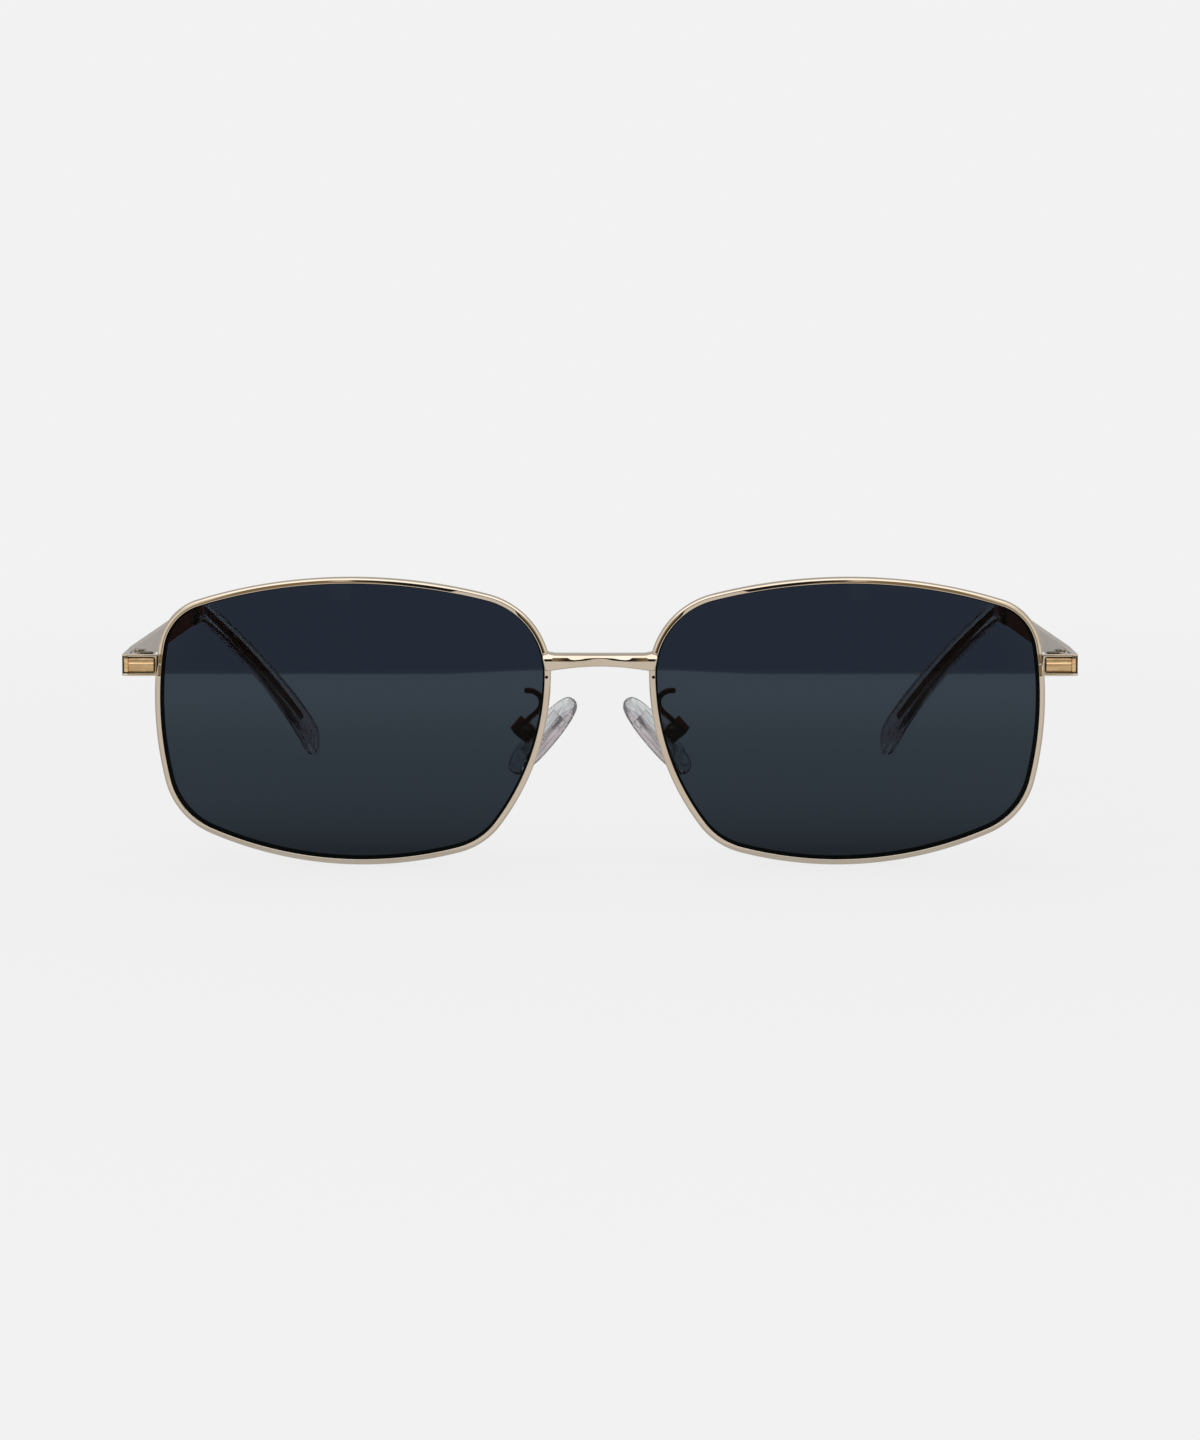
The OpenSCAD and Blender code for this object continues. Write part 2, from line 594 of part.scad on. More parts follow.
module core_wire() {
    color(steel) skin(core_rings(core_r, seat));
}
module tip() {
    color(clear, 0.5) difference() {
        skin(tip_rings(tip_low));
        skin(core_rings(core_r + running, -1));
    }
}
module pad_arm() {
    color(gold) skin(arm_rings());
}
// A cup that is open towards the pad, with a wall at each end of its screw
module pad_box() {
    color(gold) pad_place() translate([0, 0, pad_up]) difference() {
        translate([box_in, -box_d / 2, -box_w / 2]) cube([box_out - box_in, box_d, box_w]);
        translate([box_in - 1, -tab_t / 2 - seat, -box_w / 2 + box_wall])
            cube([box_out - box_in + 1 - box_wall, tab_t + 2 * seat, box_w - 2 * box_wall]);
        translate([pad_axis, 0, 0]) rotate([90, 0, 0])
            cylinder(r = pad_screw_r + seat / 2, h = box_d + 2, center = true);
    }
}
module pad_screw() {
    color(steel) pad_place() translate([pad_axis, box_d / 2 + seat, pad_up]) rotate([-90, 0, 0])
        slotted_screw(pad_screw_r, box_d);
}
// The hard carrier inside the pad, with a tab that rocks on the pad screw
module insert_shape(grow) {
    translate([-insert_t / 2 - grow, -insert_w / 2 - grow, -insert_len / 2 - grow])
        cube([insert_t + 2 * grow, insert_w + 2 * grow, insert_len + 2 * grow]);
    translate([0, -tab_t / 2 - grow, pad_up - tab_w / 2 - grow])
        cube([pad_axis, tab_t + 2 * grow, tab_w + 2 * grow]);
}
module pad_insert() {
    color(clear) pad_place() difference() {
        union() {
            insert_shape(0);
            translate([pad_axis, 0, pad_up]) rotate([90, 0, 0])
                cylinder(r = tab_w / 2, h = tab_t, center = true);
        }
        translate([pad_axis, 0, pad_up]) rotate([90, 0, 0])
            cylinder(r = pad_screw_r + running, h = tab_t + 1, center = true);
    }
}
// A soft oval pad: flat towards the box, crowned towards the nose, wider at its lower end
module nose_pad() {
    layers = [[-0.5, 0.3], [-0.44, 0.68], [-0.24, 0.91], [0, 1], [0.28, 0.98], [0.44, 0.88], [0.5, 0.74]];
    outline = [for (i = [27:-1:0]) let (a = 360 * i / 28, z = sin(a))
        [cos(a) * pad_w / 2 * (1 - 0.1 * z), sign(z) * pow(abs(z), 0.9) * pad_len / 2]];
    color(clear, 0.7) pad_place() difference() {
        skin([for (q = layers) [for (p = outline) [q[0] * pad_t, p[0] * q[1],
            p[1] * (1 - (1 - q[1]) * pad_w / pad_len)]]]);
        insert_shape(seat);
    }
}

bridge();
on_side(true) rim();  // left_rim
on_side(false) rim();  // right_rim
on_side(true) lens();  // left_lens
on_side(false) lens();  // right_lens
on_side(true) end_piece();  // left_end_piece
on_side(false) end_piece();  // right_end_piece
on_side(true) end_plate();  // left_end_plate
on_side(false) end_plate();  // right_end_plate
on_side(true) upper_closing_block();  // left_upper_closing_block
on_side(false) upper_closing_block();  // right_upper_closing_block
on_side(true) lower_closing_block();  // left_lower_closing_block
on_side(false) lower_closing_block();  // right_lower_closing_block
on_side(true) closing_screw();  // left_closing_screw
on_side(false) closing_screw();  // right_closing_screw
on_side(true) front_hinge();  // left_front_hinge
on_side(false) front_hinge();  // right_front_hinge
on_side(true) temple_hinge();  // left_temple_hinge
on_side(false) temple_hinge();  // right_temple_hinge
on_side(true) hinge_screw();  // left_hinge_screw
on_side(false) hinge_screw();  // right_hinge_screw
on_side(true) temple();  // left_temple
on_side(false) temple();  // right_temple
on_side(true) core_wire();  // left_core_wire
on_side(false) core_wire();  // right_core_wire
on_side(true) tip();  // left_tip
on_side(false) tip();  // right_tip
on_side(true) pad_arm();  // left_pad_arm
on_side(false) pad_arm();  // right_pad_arm
on_side(true) pad_box();  // left_pad_box
on_side(false) pad_box();  // right_pad_box
on_side(true) pad_screw();  // left_pad_screw
on_side(false) pad_screw();  // right_pad_screw
on_side(true) pad_insert();  // left_pad_insert
on_side(false) pad_insert();  // right_pad_insert
on_side(true) nose_pad();  // left_nose_pad
on_side(false) nose_pad();  // right_nose_pad
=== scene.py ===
import math

import bmesh
import bpy
from mathutils import Matrix, Vector


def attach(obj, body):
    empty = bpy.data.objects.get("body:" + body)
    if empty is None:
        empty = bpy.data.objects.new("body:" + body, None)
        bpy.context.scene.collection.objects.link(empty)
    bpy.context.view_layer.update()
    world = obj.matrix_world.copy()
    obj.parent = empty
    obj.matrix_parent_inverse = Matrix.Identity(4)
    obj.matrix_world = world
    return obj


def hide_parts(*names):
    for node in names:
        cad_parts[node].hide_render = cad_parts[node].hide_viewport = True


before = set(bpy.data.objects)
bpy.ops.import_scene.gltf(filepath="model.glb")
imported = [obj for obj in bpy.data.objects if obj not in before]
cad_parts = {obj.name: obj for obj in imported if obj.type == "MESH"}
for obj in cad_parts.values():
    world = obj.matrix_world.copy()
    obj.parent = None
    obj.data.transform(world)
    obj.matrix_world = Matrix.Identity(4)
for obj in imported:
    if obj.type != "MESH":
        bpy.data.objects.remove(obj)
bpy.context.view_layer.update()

print("stage: frame loaded")

# Sizes are in millimetres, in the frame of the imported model, and turn to metres in addPiece.
# +X is the wearer's left, which is the right side of the photograph.
sides = (("left", 1), ("right", -1))
middleY = 70.3714  # the model's own middle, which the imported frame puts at 0
padLean = 41  # degrees that a nose pad leans from upright, seen from the front


def linked(name, data):
    thing = bpy.data.objects.new(name, data)
    bpy.context.scene.collection.objects.link(thing)
    return thing


def meshed(name, bm):
    mesh = bpy.data.meshes.new(name)
    bm.to_mesh(mesh)
    bm.free()
    return linked(name, mesh)


cameraSettings = {
    "target": (0, -71.171, 22.84),  # middle of the image
    "distance": 700,
    "elevation": 6.6,
    "lens": 115.85,
    "sensor": 36,
    "clip": (0.01, 50),  # metres
}


def makeCamera(s):
    data = bpy.data.cameras.new("photoCamera")
    data.sensor_width = s["sensor"]
    data.lens = s["lens"]
    data.clip_start, data.clip_end = s["clip"]
    camera = linked("photoCamera", data)
    e = math.radians(s["elevation"])
    back = Vector((0, -math.cos(e), math.sin(e)))
    camera.location = (Vector(s["target"]) + s["distance"] * back) * 0.001
    camera.rotation_euler = (-back).to_track_quat("-Z", "Y").to_euler()
    bpy.context.scene.camera = camera


class Wire:  # an output socket that takes plain arithmetic
    def __init__(self, paint, socket):
        self.paint, self.socket = paint, socket

    def __add__(self, other):
        return self.paint.maths("ADD", self, other)

    def __sub__(self, other):
        return self.paint.maths("SUBTRACT", self, other)

    def __rsub__(self, other):
        return self.paint.maths("SUBTRACT", other, self)

    def __mul__(self, other):
        return self.paint.maths("MULTIPLY", self, other)

    def __truediv__(self, other):
        return self.paint.maths("DIVIDE", self, other)

    __radd__ = __add__
    __rmul__ = __mul__


class Paint:  # the node tree of one finish
    def __init__(self, tree):
        self.tree = tree
        tree.nodes.clear()

    def add(self, kind, settings=None, inputs=None, out=0):
        node = self.tree.nodes.new(kind)
        for name, value in (settings or {}).items():
            if name == "stops":
                marks = node.color_ramp.elements
                marks[0].position, marks[1].position = value[0][0], value[-1][0]
                marks[0].color, marks[1].color = (*value[0][1], 1), (*value[-1][1], 1)
                for at, shade in value[1:-1]:
                    marks.new(at).color = (*shade, 1)
            else:
                setattr(node, name, value)
        for name, value in (inputs or {}).items():
            socket = node.inputs[name]
            if isinstance(value, Wire):
                self.tree.links.new(value.socket, socket)
            else:
                socket.default_value = value
        return Wire(self, node.outputs[out]) if node.outputs else None

    def maths(self, operation, a, b, clamp=False):
        settings = {"operation": operation, "use_clamp": clamp}
        return self.add("ShaderNodeMath", settings, {0: a, 1: b})

    def size(self, value):  # without its sign
        return self.maths("ABSOLUTE", value, 0)

    def vector(self, operation, a, b=None, out=0):
        inputs = {0: a} if b is None else {0: a, 1: b}
        return self.add("ShaderNodeVectorMath", {"operation": operation}, inputs, out)

    def part(self, where, axis):
        return self.add("ShaderNodeSeparateXYZ", None, {"Vector": where}, axis)

    def step(self, value, low, high, smooth=True):
        kind = "SMOOTHSTEP" if smooth else "LINEAR"
        return self.add("ShaderNodeMapRange", {"interpolation_type": kind},
                        {"Value": value, "From Min": low, "From Max": high})

    def mix(self, factor, a, b, blend="MIX"):
        settings = {"data_type": "RGBA", "blend_type": blend}
        return self.add("ShaderNodeMix", settings, {0: factor, 6: a, 7: b}, 2)

    def place(self, scale=(1, 1, 1)):
        return self.mapping(self.add("ShaderNodeTexCoord", out="Object"), scale)

    def mapping(self, where, scale=(1, 1, 1), turn=(0, 0, 0)):
        return self.add("ShaderNodeMapping", None,
                        {"Vector": where, "Scale": scale, "Rotation": turn})

    def noise(self, where, size, detail=2, rough=0.5):  # size in metres
        return self.add("ShaderNodeTexNoise", None,
                        {"Vector": where, "Scale": 1 / size, "Detail": detail, "Roughness": rough})

    def bump(self, height, depth):  # depth in metres
        return self.add("ShaderNodeBump", None,
                        {"Height": height, "Distance": depth, "Strength": 1})

    def blend(self, factor, first, second):
        return self.add("ShaderNodeMixShader", None, {0: factor, 1: first, 2: second})

    def surface(self, inputs):
        shader = self.add("ShaderNodeBsdfPrincipled", None, inputs)
        self.add("ShaderNodeOutputMaterial", None, {"Surface": shader})


def newFinish(name):
    material = bpy.data.materials.new(name)
    material.use_nodes = True
    return material, Paint(material.node_tree)


def colour(r, g, b):
    return (r, g, b, 1)


def grey(v):
    return colour(v, v, v)


def scaled(tint, share):
    return colour(*(c * share for c in tint[:3]))


rimMark = {  # the punched dot on each rim below the bridge, in metres; its dark colour is painted shade of the pit
    "at": (0.00808, 0, 0.02924), "radius": 0.00027, "soft": 0.75,
    "depth": (-0.07025, -0.07005),  # it fades out between these, behind the front
    "pitShade": colour(0.01, 0.008, 0.006), "rough": 0.5,
}


goldSettings = {
    "polished": colour(0.88, 0.775, 0.64),
    "shaded": colour(0.82, 0.695, 0.54),
    "rubbed": colour(0.93, 0.86, 0.76),
    "cloud": 0.009, "cloudRange": (0.35, 0.65), "cloudShare": 0.55,
    "worn": 0.0021, "wornRange": (0.62, 0.75), "wornShare": 0.25,
    "grain": 0.00012, "grainDepth": 0.0000005,
    "roughness": 0.045, "cloudRough": 0.03, "grainRough": 0.04,
}


# the temple strips are paler, and brushed lengthways
templeGold = {
    "along": (1, 0.03, 1), "rough": 0.42, "grain": 2,
    "bright": colour(0.88, 0.8, 0.735), "deep": colour(0.82, 0.735, 0.66),
}


def plated(name, along=(1, 1, 1), rough=None, grain=1.0, bright=None, deep=None, mark=None):
    s = goldSettings
    material, p = newFinish(name)
    where = p.place()
    cloud = p.step(p.noise(where, s["cloud"], 3), *s["cloudRange"])
    fine = p.noise(p.place(along), s["grain"], 4, 0.6)
    worn = p.step(p.noise(where, s["worn"], 5, 0.65), *s["wornRange"])
    base = p.mix(cloud * s["cloudShare"], bright or s["polished"], deep or s["shaded"])
    base = p.mix(worn * s["wornShare"], base, s["rubbed"])
    start = s["roughness"] if rough is None else rough
    roughness = start + s["cloudRough"] * cloud + s["grainRough"] * (fine - 0.5)
    if mark:
        # painted shade: the punched dot is coloured dark, and is also made rough
        flat = p.vector("MULTIPLY", where, (1, 0, 1))
        away = p.vector("DISTANCE", p.vector("ABSOLUTE", flat), mark["at"], "Value")
        inside = 1 - p.step(away, mark["radius"] * mark["soft"], mark["radius"])
        inside = inside * (1 - p.step(p.part(where, "Y"), *mark["depth"]))
        base = p.mix(inside, base, mark["pitShade"])
        roughness = roughness + mark["rough"] * inside
    p.surface({"Base Color": base, "Metallic": 1.0, "Roughness": roughness, "IOR": 1.5,
               "Normal": p.bump(fine, s["grainDepth"] * grain)})
    return material


plateSettings = {
    "bright": colour(0.95, 0.72, 0.42), "deep": colour(0.78, 0.52, 0.26),
    "seam": colour(0.16, 0.1, 0.035),
    "brush": 0.0003, "brushAlong": (0.05, 0.05, 1), "brushRange": (0.36, 0.64),
    "brushDepth": 0.0000015,
    "cloud": 0.0011, "cloudAlong": (0.5, 0.5, 1), "cloudShare": 0.6,
    "roughness": 0.24, "cloudRough": 0.1, "seamRough": 0.3,
    "coat": 0.2, "coatRough": 0.06,
    # outline of the plate in metres, the dark seam's width inside it, and how far that wanders
    "low": (0.067813, 0.0294), "high": (0.072535, 0.03168),
    "seamWidth": 0.00017, "seamSoft": 0.6, "wander": 0.00012,
}


def lacquered(name, s=plateSettings):  # gold plate brushed lengthways, dark along its outline
    material, p = newFinish(name)
    where = p.place()
    x, z = p.size(p.part(where, "X")), p.part(where, "Z")
    brushed = p.noise(p.place(s["brushAlong"]), s["brush"], 3, 0.55)
    cloud = p.noise(p.place(s["cloudAlong"]), s["cloud"], 3)
    streak = p.step(brushed + s["cloudShare"] * (cloud - 0.5), *s["brushRange"])
    inset = p.maths("MINIMUM", p.maths("MINIMUM", x - s["low"][0], s["high"][0] - x),
                    p.maths("MINIMUM", z - s["low"][1], s["high"][1] - z))
    inset = inset + s["wander"] * (cloud - 0.5)
    seam = 1 - p.step(inset, s["seamWidth"] * s["seamSoft"], s["seamWidth"])
    base = p.mix(seam, p.mix(streak, s["deep"], s["bright"]), s["seam"])
    p.surface({"Base Color": base, "Metallic": 1.0, "IOR": 1.5,
               "Roughness": s["roughness"] + s["cloudRough"] * cloud + s["seamRough"] * seam,
               "Coat Weight": s["coat"], "Coat Roughness": s["coatRough"],
               "Normal": p.bump(brushed, s["brushDepth"])})
    return material


steelSettings = {  # the kinds as (light, dark, roughness), and the marks of the lathe
    "screw": (colour(0.6, 0.56, 0.5), colour(0.4, 0.36, 0.31), 0.12),
    # painted shade: the sunk closing screw is coloured dark for the hole around it
    "sunkScrewShade": (colour(0.2, 0.17, 0.13), colour(0.09, 0.07, 0.05), 0.25),
    "core": (colour(0.33, 0.17, 0.12), colour(0.16, 0.075, 0.055), 0.3),
    "turned": 0.0004, "turnedAlong": (1, 1, 6), "turnedRange": (0.3, 0.7),
    "turnedRough": 0.08, "turnedDepth": 0.0000012,
}


def steel(name, kind, s=steelSettings):
    light, dark, roughness = s[kind]
    material, p = newFinish(name)
    turned = p.noise(p.place(s["turnedAlong"]), s["turned"], 4, 0.6)
    base = p.mix(p.step(turned, *s["turnedRange"]), dark, light)
    p.surface({"Base Color": base, "Metallic": 1.0,
               "Roughness": roughness + s["turnedRough"] * turned,
               "Normal": p.bump(turned, s["turnedDepth"])})
    return material


lensFinishSettings = {
    "tint": colour(0.0382, 0.0519, 0.0681),  # share of light that comes through
    "film": colour(0.07, 0.075, 0.08), "filmSize": 0.02, "filmShare": 0.03, "filmRough": 0.004,
    "speck": 0.0009, "speckRange": (0.74, 0.8), "speckRough": 0.04,
    "mirror": colour(0.12, 0.14, 0.13),  # the coated lens reflects only a little
    "edge": colour(0.012, 0.013, 0.016), "edgePale": 1.6, "edgeMirror": 0.1,
    "frost": 0.00008, "frostDepth": 0.000004, "frostLow": 0.75, "frostRough": 0.2,
}


def tintedLens(name, s=lensFinishSettings):
    material, p = newFinish(name)
    where = p.place()
    film = p.noise(where, s["filmSize"], 2)
    specks = p.step(p.noise(where, s["speck"], 2), *s["speckRange"])
    p.surface({"Base Color": p.mix(s["filmShare"] * film, s["tint"], s["film"]), "Metallic": 0.0,
               "Roughness": s["filmRough"] * film + s["speckRough"] * specks, "IOR": 1.5,
               "Transmission Weight": 1.0, "Specular Tint": s["mirror"]})
    return material


def groundEdge(name, s=lensFinishSettings):  # the lens's frosted rim, which sits in the groove
    material, p = newFinish(name)
    frost = p.noise(p.place(), s["frost"], 3, 0.6)
    p.surface({"Base Color": p.mix(frost, s["edge"], scaled(s["edge"], s["edgePale"])),
               "Roughness": s["frostLow"] + s["frostRough"] * frost,
               "Specular IOR Level": s["edgeMirror"], "Normal": p.bump(frost, s["frostDepth"])})
    return material


clearSettings = {
    "tip": {"tint": colour(0.9, 0.87, 0.87), "rough": 0.03, "ior": 1.3, "ripple": 0.00001},
    "pad": {"tint": colour(0.86, 0.88, 0.89), "rough": 0.06, "ior": 1.22, "ripple": 0.00001,
            "milk": 0.2, "streaks": 0.6},
    "insert": {"tint": colour(0.9, 0.92, 0.93), "rough": 0.05, "ior": 1.45, "ripple": 0.000004},
}


flowSettings = {
    "flow": 0.006, "flowRange": (0.3, 0.7), "flowShare": 0.5, "flowDeep": 0.95,
    "haze": 0.004, "hazeRough": 0.03,
    # faint lines along the pad
    "stretch": (1, 1, 0.07), "line": 0.0007, "lineRange": (0.56, 0.66), "lineDeep": 0.5,
}


def clearPlastic(name, tint, rough, ior, ripple, milk=0.0, streaks=0.0):
    s = flowSettings
    material, p = newFinish(name)
    where = p.place()
    flow = p.noise(where, s["flow"], 2)
    haze = p.noise(where, s["haze"], 2)
    swirl = s["flowShare"] * p.step(flow, *s["flowRange"])
    base = p.mix(swirl, tint, scaled(tint, s["flowDeep"]))
    if streaks:
        along = p.mapping(p.vector("ABSOLUTE", where), turn=(0, math.radians(padLean), 0))
        line = p.noise(p.mapping(along, s["stretch"]), s["line"], 2, 0.6)
        base = p.mix(streaks * p.step(line, *s["lineRange"]), base, scaled(tint, s["lineDeep"]))
    p.surface({"Base Color": base, "Roughness": rough + s["hazeRough"] * haze, "IOR": ior,
               "Transmission Weight": 1 - milk, "Normal": p.bump(flow, ripple)})
    return material


def makeFinishes():  # each is the slot that it fills, then its materials
    gold = "champagne_gold"
    return {
        "rim": (gold, plated("champagneRim", mark=rimMark)),
        "bridge": (gold, plated("champagneBridge", along=(0.08, 1, 1))),
        "endPiece": (gold, plated("champagneEndPiece", along=(0.15, 1, 1))),
        "endPlate": ("deep_gold", lacquered("deepGoldPlate")),
        "temple": (gold, plated("champagneTemple", **templeGold)),
        "hinge": (gold, plated("champagneHinge", rough=0.22)),
        "wire": (gold, plated("champagneWire", rough=0.16)),
        "screw": ("screw_steel", steel("turnedScrew", "screw")),
        # the closing screw's dark colour is painted shade of its hole
        "sunkScrewShade": ("screw_steel", steel("screwPaintedShade", "sunkScrewShade")),
        "core": ("core_steel", steel("drawnCore", "core")),
        "lens": ("smoke_lens", tintedLens("smokeLens"), groundEdge("groundLensEdge")),
        "tip": ("clear_tip", clearPlastic("clearTip", **clearSettings["tip"])),
        "pad": ("silicone", clearPlastic("siliconePad", **clearSettings["pad"])),
        "insert": ("pad_insert", clearPlastic("padInsert", **clearSettings["insert"])),
    }


def bend(bm, move):  # moves every vertex by a function of its place
    for v in bm.verts:
        v.co = move(v.co)


def freshEdges(geom):
    return [g for g in geom if isinstance(g, bmesh.types.BMEdge)]


def freshVerts(geom):
    return [g for g in geom if isinstance(g, bmesh.types.BMVert)]


def polygon(bm, points):
    return bm.faces.new([bm.verts.new(p) for p in points])


def sweepRing(bm, edges, steps):
    # extrudes a ring of edges, and moves each new ring by the next matrix
    last = None
    for step in steps:
        if last is not None:
            made = bmesh.ops.extrude_edge_only(bm, edges=edges)["geom"]
            edges = freshEdges(made)
            bmesh.ops.transform(bm, matrix=step @ last.inverted(), verts=freshVerts(made))
        last = step
    return edges


def thicken(bm, depth):  # gives flat faces a back, this far behind them
    made = bmesh.ops.extrude_face_region(bm, geom=bm.faces[:], use_keep_orig=True)["geom"]
    bmesh.ops.translate(bm, vec=(0, depth, 0), verts=freshVerts(made))


def capRing(bm, edges):
    face = bmesh.ops.contextual_create(bm, geom=edges)["faces"]
    bmesh.ops.poke(bm, faces=face)


def curvePoint(p, t):
    return ((1 - t) ** 3 * p[0] + 3 * t * (1 - t) ** 2 * p[1]
            + 3 * t * t * (1 - t) * p[2] + t ** 3 * p[3])


def curveSlope(p, t):
    return (1 - t) ** 2 * (p[1] - p[0]) + 2 * t * (1 - t) * (p[2] - p[1]) + t * t * (p[3] - p[2])


def facing(at, way, wide=1, high=1, up=Vector((0, 0, 1))):
    # a matrix that puts a flat ring, drawn in X and Y, square to the way a line runs
    w = way.normalized()
    side = w.cross(up).normalized()
    rise = side.cross(w)
    turn = Matrix((side, rise, w)).transposed().to_4x4()
    return Matrix.Translation(at) @ turn @ Matrix.Diagonal((wide, high, 1, 1))


def addPiece(name, bm, body, nodes, finish, crease=32):
    slot, *materials = finish
    bmesh.ops.recalc_face_normals(bm, faces=bm.faces)
    bmesh.ops.scale(bm, vec=(0.001, 0.001, 0.001), verts=bm.verts)
    piece = meshed(name, bm)
    piece.data.shade_smooth()
    piece.data.set_sharp_from_angle(angle=math.radians(crease))
    for material in materials:
        piece.data.materials.append(material)
    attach(piece, body)
    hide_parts(*nodes)


def carved(bm, tool):  # takes one closed shape away from another
    shapes = []
    for part in (bm, tool):
        bmesh.ops.recalc_face_normals(part, faces=part.faces)
        shapes.append(meshed("carving", part))
    cut = shapes[0].modifiers.new("cut", "BOOLEAN")
    cut.operation, cut.solver, cut.object = "DIFFERENCE", "EXACT", shapes[1]
    result = bmesh.new()
    result.from_object(shapes[0], bpy.context.evaluated_depsgraph_get())
    for shape in shapes:
        bpy.data.meshes.remove(shape.data)
    return result


def interpolate(x, stops):  # straight lines between (x, y) stops
    if x <= stops[0][0]:
        return stops[0][1]
    for (x0, y0), (x1, y1) in zip(stops, stops[1:]):
        if x <= x1:
            return y0 + (y1 - y0) * (x - x0) / (x1 - x0)
    return stops[-1][1]


def addSide(side, name, bm, body, node, finish, crease=32):
    rides = body if body == "front" else f"{side}_{body}"
    addPiece(side + name, bm, rides, [f"{side}_{node}"], finish, crease)


def addPair(name, bm, *about):  # a left piece and its mirror image
    twin = bm.copy()
    bmesh.ops.scale(twin, vec=(-1, 1, 1), verts=twin.verts)
    addSide("left", name, bm, *about)
    addSide("right", name, twin, *about)


lensSettings = {
    "width": 60, "height": 44, "groove": 0.6, "fit": 0.08,
    "baseRadius": 130, "thickness": 2, "wrap": 5, "tilt": 6,
    "centre": Vector((37.9844, -middleY, 22.0396)),
    "sideRadii": (75, 39, 62, 56),  # top, nose side, bottom, temple side
    "sideAt": (-1.4, 7.6, -0.4, 2.2),
    "cornerRadii": (11.8, 10.4, 10.2, 8.4),
    "arcStep": 1.6, "longest": 0.7,  # degrees of turn, or millimetres, between two rings
    "rings": (0.995, 0.97, 0.93, 0.88, 0.82, 0.76, 0.7, 0.63,
              0.56, 0.49, 0.42, 0.35, 0.28, 0.21, 0.14, 0.07),  # of the lens's two faces
    "wallCuts": 3,
}


rimSettings = {
    "width": 1, "depth": 2.2, "proud": 0.2, "grooveHalf": 0.5,
    "frontLip": 0.12, "soft": 0.07, "edge": 0.46, "lip": 0.14,  # rounding of the corners
    # the bright slope of the front's outer edge: (outward, deep)
    "shoulder": ((0.52, 0), (0.8, 0.13), (1, 0.42)),
    "splitAngle": 5.83, "splitHalf": 0.125,
    # near the nose the top of the front leans down, as the wire twists: (place, share)
    "twist": 14, "twistReach": 0.05,
    "twistAt": ((-25.6, 0), (-24.6, 1), (-16.4, 1), (-15.4, 0)),
    # the front is cut back here for the end piece: (x, z) corners, and the depth of the cut
    "lapCut": ((66.903, 28.86), (72.8, 28.86), (72.8, 32.22), (66.559, 32.22)),
    "lapFrom": 4 - middleY, "lapTo": 5.774 - middleY,
}


def onShell(p):  # flat drawing to the curved, tilted lens unit; y is the depth behind the front
    s = lensSettings
    r = s["baseRadius"]
    q = Vector((p.x, r - math.sqrt(r * r - p.x ** 2 - p.z ** 2), p.z))
    q += p.y / r * (Vector((0, r, 0)) - q)
    q = Matrix.Rotation(math.radians(s["wrap"]), 3, "Z") @ q
    q = Matrix.Rotation(math.radians(s["tilt"]), 3, "X") @ q
    return q + s["centre"]


def heading(angle):  # a step of length 1 in the flat drawing, in degrees
    return Vector((math.cos(math.radians(angle)), math.sin(math.radians(angle))))


def outlineArcs(s=lensSettings):
    # eight arcs that run into each other: (centre, radius, start angle, sweep)
    halfW, halfH = s["width"] / 2 - s["groove"], s["height"] / 2 - s["groove"]
    a, b, c, d = s["sideAt"]
    ends = (Vector((a, halfH)), Vector((-halfW, b)), Vector((c, -halfH)), Vector((halfW, d)))
    large = []
    for end, angle, r in zip(ends, (90, 180, 270, 0), s["sideRadii"]):
        large.append((end - r * heading(angle), r))
    arcs = []
    for i, r in enumerate(s["cornerRadii"]):
        (p, rp), (q, rq) = large[i], large[(i + 1) % 4]
        span = q - p
        along = ((rp - r) ** 2 - (rq - r) ** 2 + span.length_squared) / (2 * span.length)
        e = span.normalized()
        off = math.sqrt((rp - r) ** 2 - along ** 2)
        arcs += [(p, rp), (p + along * e + off * Vector((-e.y, e.x)), r)]
    joints = []
    for k in range(8):
        (p, _), (q, _) = arcs[k], arcs[(k + 1) % 8]
        way = q - p if k % 2 == 0 else p - q
        joints.append(math.degrees(math.atan2(way.y, way.x)))
    return [(centre, radius, joints[k - 1], (joints[k] - joints[k - 1]) % 360)
            for k, (centre, radius) in enumerate(arcs)]


def spinAlong(bm, geom, arcs, s=lensSettings):
    for centre, radius, _, sweep in arcs:
        turn = math.radians(sweep)
        count = max(3, math.ceil(sweep / s["arcStep"]), math.ceil(turn * radius / s["longest"]))
        made = bmesh.ops.spin(bm, geom=geom, cent=(centre.x, 0, centre.y), axis=(0, -1, 0),
                              dvec=(0, 0, 0), angle=turn, steps=count, use_merge=False,
                              use_duplicate=False)
        geom = made["geom_last"]
    return geom


def outward(p, arcs):  # how far a point of the flat drawing lies outside the outline
    for centre, radius, start, sweep in arcs:
        way = Vector((p.x, p.z)) - centre
        if (math.degrees(math.atan2(way.y, way.x)) - start) % 360 <= sweep:
            return way.length - radius
    return 0


